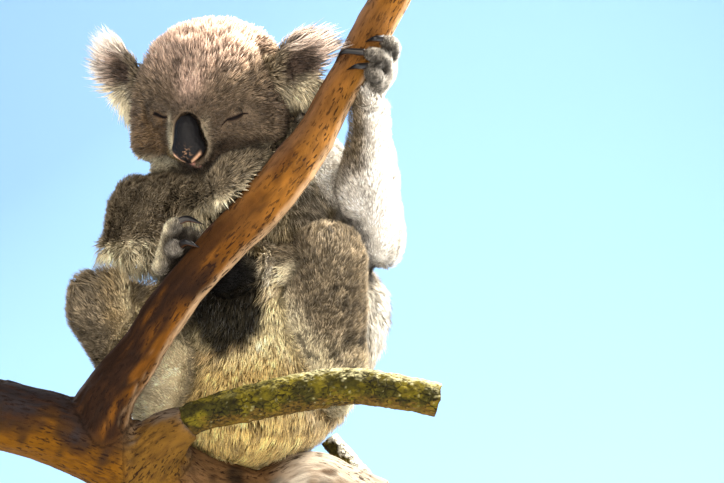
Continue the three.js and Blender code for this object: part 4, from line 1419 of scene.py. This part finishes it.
def mossy(name, limb, voxel, seed, node, lichen=0.0):
    """A mossy limb. lichen is how much of its upper right side is pale with it."""
    corners, triangles = remeshed(*limb_tube(limb), voxel)
    corners = smoothed(corners, edges_of(triangles, len(corners)), 6)
    _, run, offset = limb_place(corners, [limb])
    lumps = fractal(corners, 9, 3, seed + 1)
    relief = 1.0 * lumps + 0.5 * fractal(corners, 3, 2, seed + 5)
    corners = corners + normals_of(corners, triangles) * relief[:, None]
    outward = normals_of(corners, triangles)
    top = ramp(outward[:, 2] + 0.3 * lumps, 0.45, 0.95)
    below = ramp(-outward[:, 2] + 0.2 * lumps, 0.35, 0.9)
    facing = ramp(0.6 * outward[:, 0] + 0.8 * outward[:, 2] + 0.5 * lumps, -0.2, 0.3)
    colour = painted(
        plain(len(corners), "332f10"),
        ("675b14", ramp(fractal(corners, 15, 3, seed + 2), -0.3, 0.6) * 0.7),
        ("8a8148", top * 0.75 * ramp(corners[:, 0], -40, 60)),
        # Painted sunlight: pale cream on top, on the right side of the fork.
        ("c9c29a", top * 0.6 * ramp(corners[:, 0], 40, 90)),
        ("6a4c1c", below * 0.6),
        ("b0a878", ramp(fractal(corners, 4, 3, seed + 3), 0.7, 1.1) * 0.4),
        ("d9d4c4", facing * lichen))
    colour = colour * (1 + 0.35 * fractal(corners, 3, 2, seed + 4))[:, None]
    if not lichen:
        colour = sawn(colour, corners, outward, limb, [-1], rings=4.5)
    piece(name, corners, triangles, "moss", colour, nodes=[node], slot="moss",
          grain=np.column_stack([offset, run * 0.75]))


mossy("perch_moss", MOSSY_LIMB, voxel=1.1, seed=80, node="perch_mossy_limb")
mossy("perch_stub", BROKEN_TWIG, voxel=1.2, seed=90, node="perch_broken_twig", lichen=0.85)

# ---------------------------------------------------------------- display stand


def turned_piece(name, node, radius, low, high, sides, look, edge):
    """A plain upright cylinder in the place of a CAD node, with its edges rounded."""
    centre = (low + high) / 2
    angle = np.linspace(0, 2 * np.pi, sides, endpoint=False)
    flat = np.stack([np.cos(angle), np.sin(angle), 0 * angle], axis=1)
    path = np.array([[centre[0], centre[1], height] for height in (low[2], high[2])])
    rings = path[:, None] + radius * flat[None]
    made = piece(name, *closed(rings, (path[:1], path[-1:])), look, nodes=[node], slot=look)
    bevel = made.modifiers.new("edge", "BEVEL")
    bevel.width = edge
    bevel.segments = 3
    bevel.limit_method = "ANGLE"
    bevel.harden_normals = True


def cad_box(node):
    return (np.array(corner) * 1000 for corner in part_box(node))


low, high = cad_box("stand_base")
turned_piece("stand_base_disc", "stand_base", (high[1] - low[1]) / 2, low, high, 128, "stand", 0.0025)
for name in ("stand_rod_left", "stand_rod_right"):
    turned_piece(f"{name}_bar", name, 8, *cad_box(name), 48, "steel", 0.0003)

# ---------------------------------------------------------------- floor, backdrop, light and camera


def seen_from_inside(tree, shader):
    """A painted surface that is clear from its back, so that it hides nothing from a camera behind it."""
    tree.links.new(kept_on_mesh(tree, "colour"), shader.inputs["Base Color"])
    behind = linked(tree, "NewGeometry", 6)
    clear = linked(tree, "BsdfTransparent")
    either = linked(tree, "MixShader", _0=behind, _1=shader.outputs["BSDF"], _2=clear)
    tree.links.new(either, tree.nodes["Material Output"].inputs["Surface"])


def sweep():
    """A pale floor that curves up into a pale blue backdrop."""
    bend = [(1.2 + 1.5 * math.sin(a), 1.5 - 1.5 * math.cos(a)) for a in np.linspace(0.1, math.pi / 2, 14)]
    profile = [(-4.5, 0.0), (1.2, 0.0), *bend, (2.7, 6.0)]
    corners = [(x, y, z) for y, z in profile for x in (-7.0, 7.0)]
    faces = [(2 * i, 2 * i + 1, 2 * i + 3, 2 * i + 2) for i in range(len(profile) - 1)]
    mesh = bpy.data.meshes.new("sweep")
    mesh.from_pydata(corners, [], faces)
    mesh.polygons.foreach_set("use_smooth", [True] * len(faces))
    rise = np.clip(np.array(corners)[:, 2] / 0.25, 0, 1)
    store_colour(mesh, painted(plain(len(corners), "c9cdd3"), ("7ba0c8", rise)))
    mesh.materials.append(material("backdrop", seen_from_inside, Roughness=0.9))
    in_scene("backdrop", mesh)


def area_light(name, place, target, size, power, colour):
    light = bpy.data.lights.new(name, "AREA")
    light.shape = "DISK"
    light.size = size
    light.energy = power
    light.color = colour
    made = in_scene(name, light)
    made.location = place
    made.rotation_euler = (Vector(target) - Vector(place)).to_track_quat("-Z", "Y").to_euler()


sweep()
area_light("sun_side", (1.75, 0.15, 2.2), (0.05, 0, 0.6), size=0.6, power=345, colour=(1.0, 0.95, 0.87))
area_light("back_rim", (-1.2, 1.7, 1.9), (0, 0, 0.65), size=1.0, power=60, colour=(1.0, 0.97, 0.92))
area_light("front_fill", (-1.2, -2.4, 1.6), (0, 0, 0.55), size=1.8, power=46, colour=(1.0, 0.95, 0.88))
area_light("low_fill", (0.1, -2.2, 0.3), (0, 0, 0.5), size=1.8, power=48, colour=(1.0, 0.88, 0.72))
bpy.context.scene.view_settings.view_transform = "Standard"

world = bpy.data.worlds.new("studio")
bpy.context.scene.world = world
world.use_nodes = True
sky = world.node_tree.nodes["Background"]
sky.inputs["Color"].default_value = (0.78, 0.87, 1.0, 1)
sky.inputs["Strength"].default_value = 0.40

camera = bpy.data.cameras.new("camera")
camera.lens = 120
camera.sensor_width = 36
viewer = in_scene("camera", camera)
viewer.location = (0.137, -2.6205, 0.0935)
viewer.rotation_euler = (math.radians(100), 0, 0)
bpy.context.scene.camera = viewer
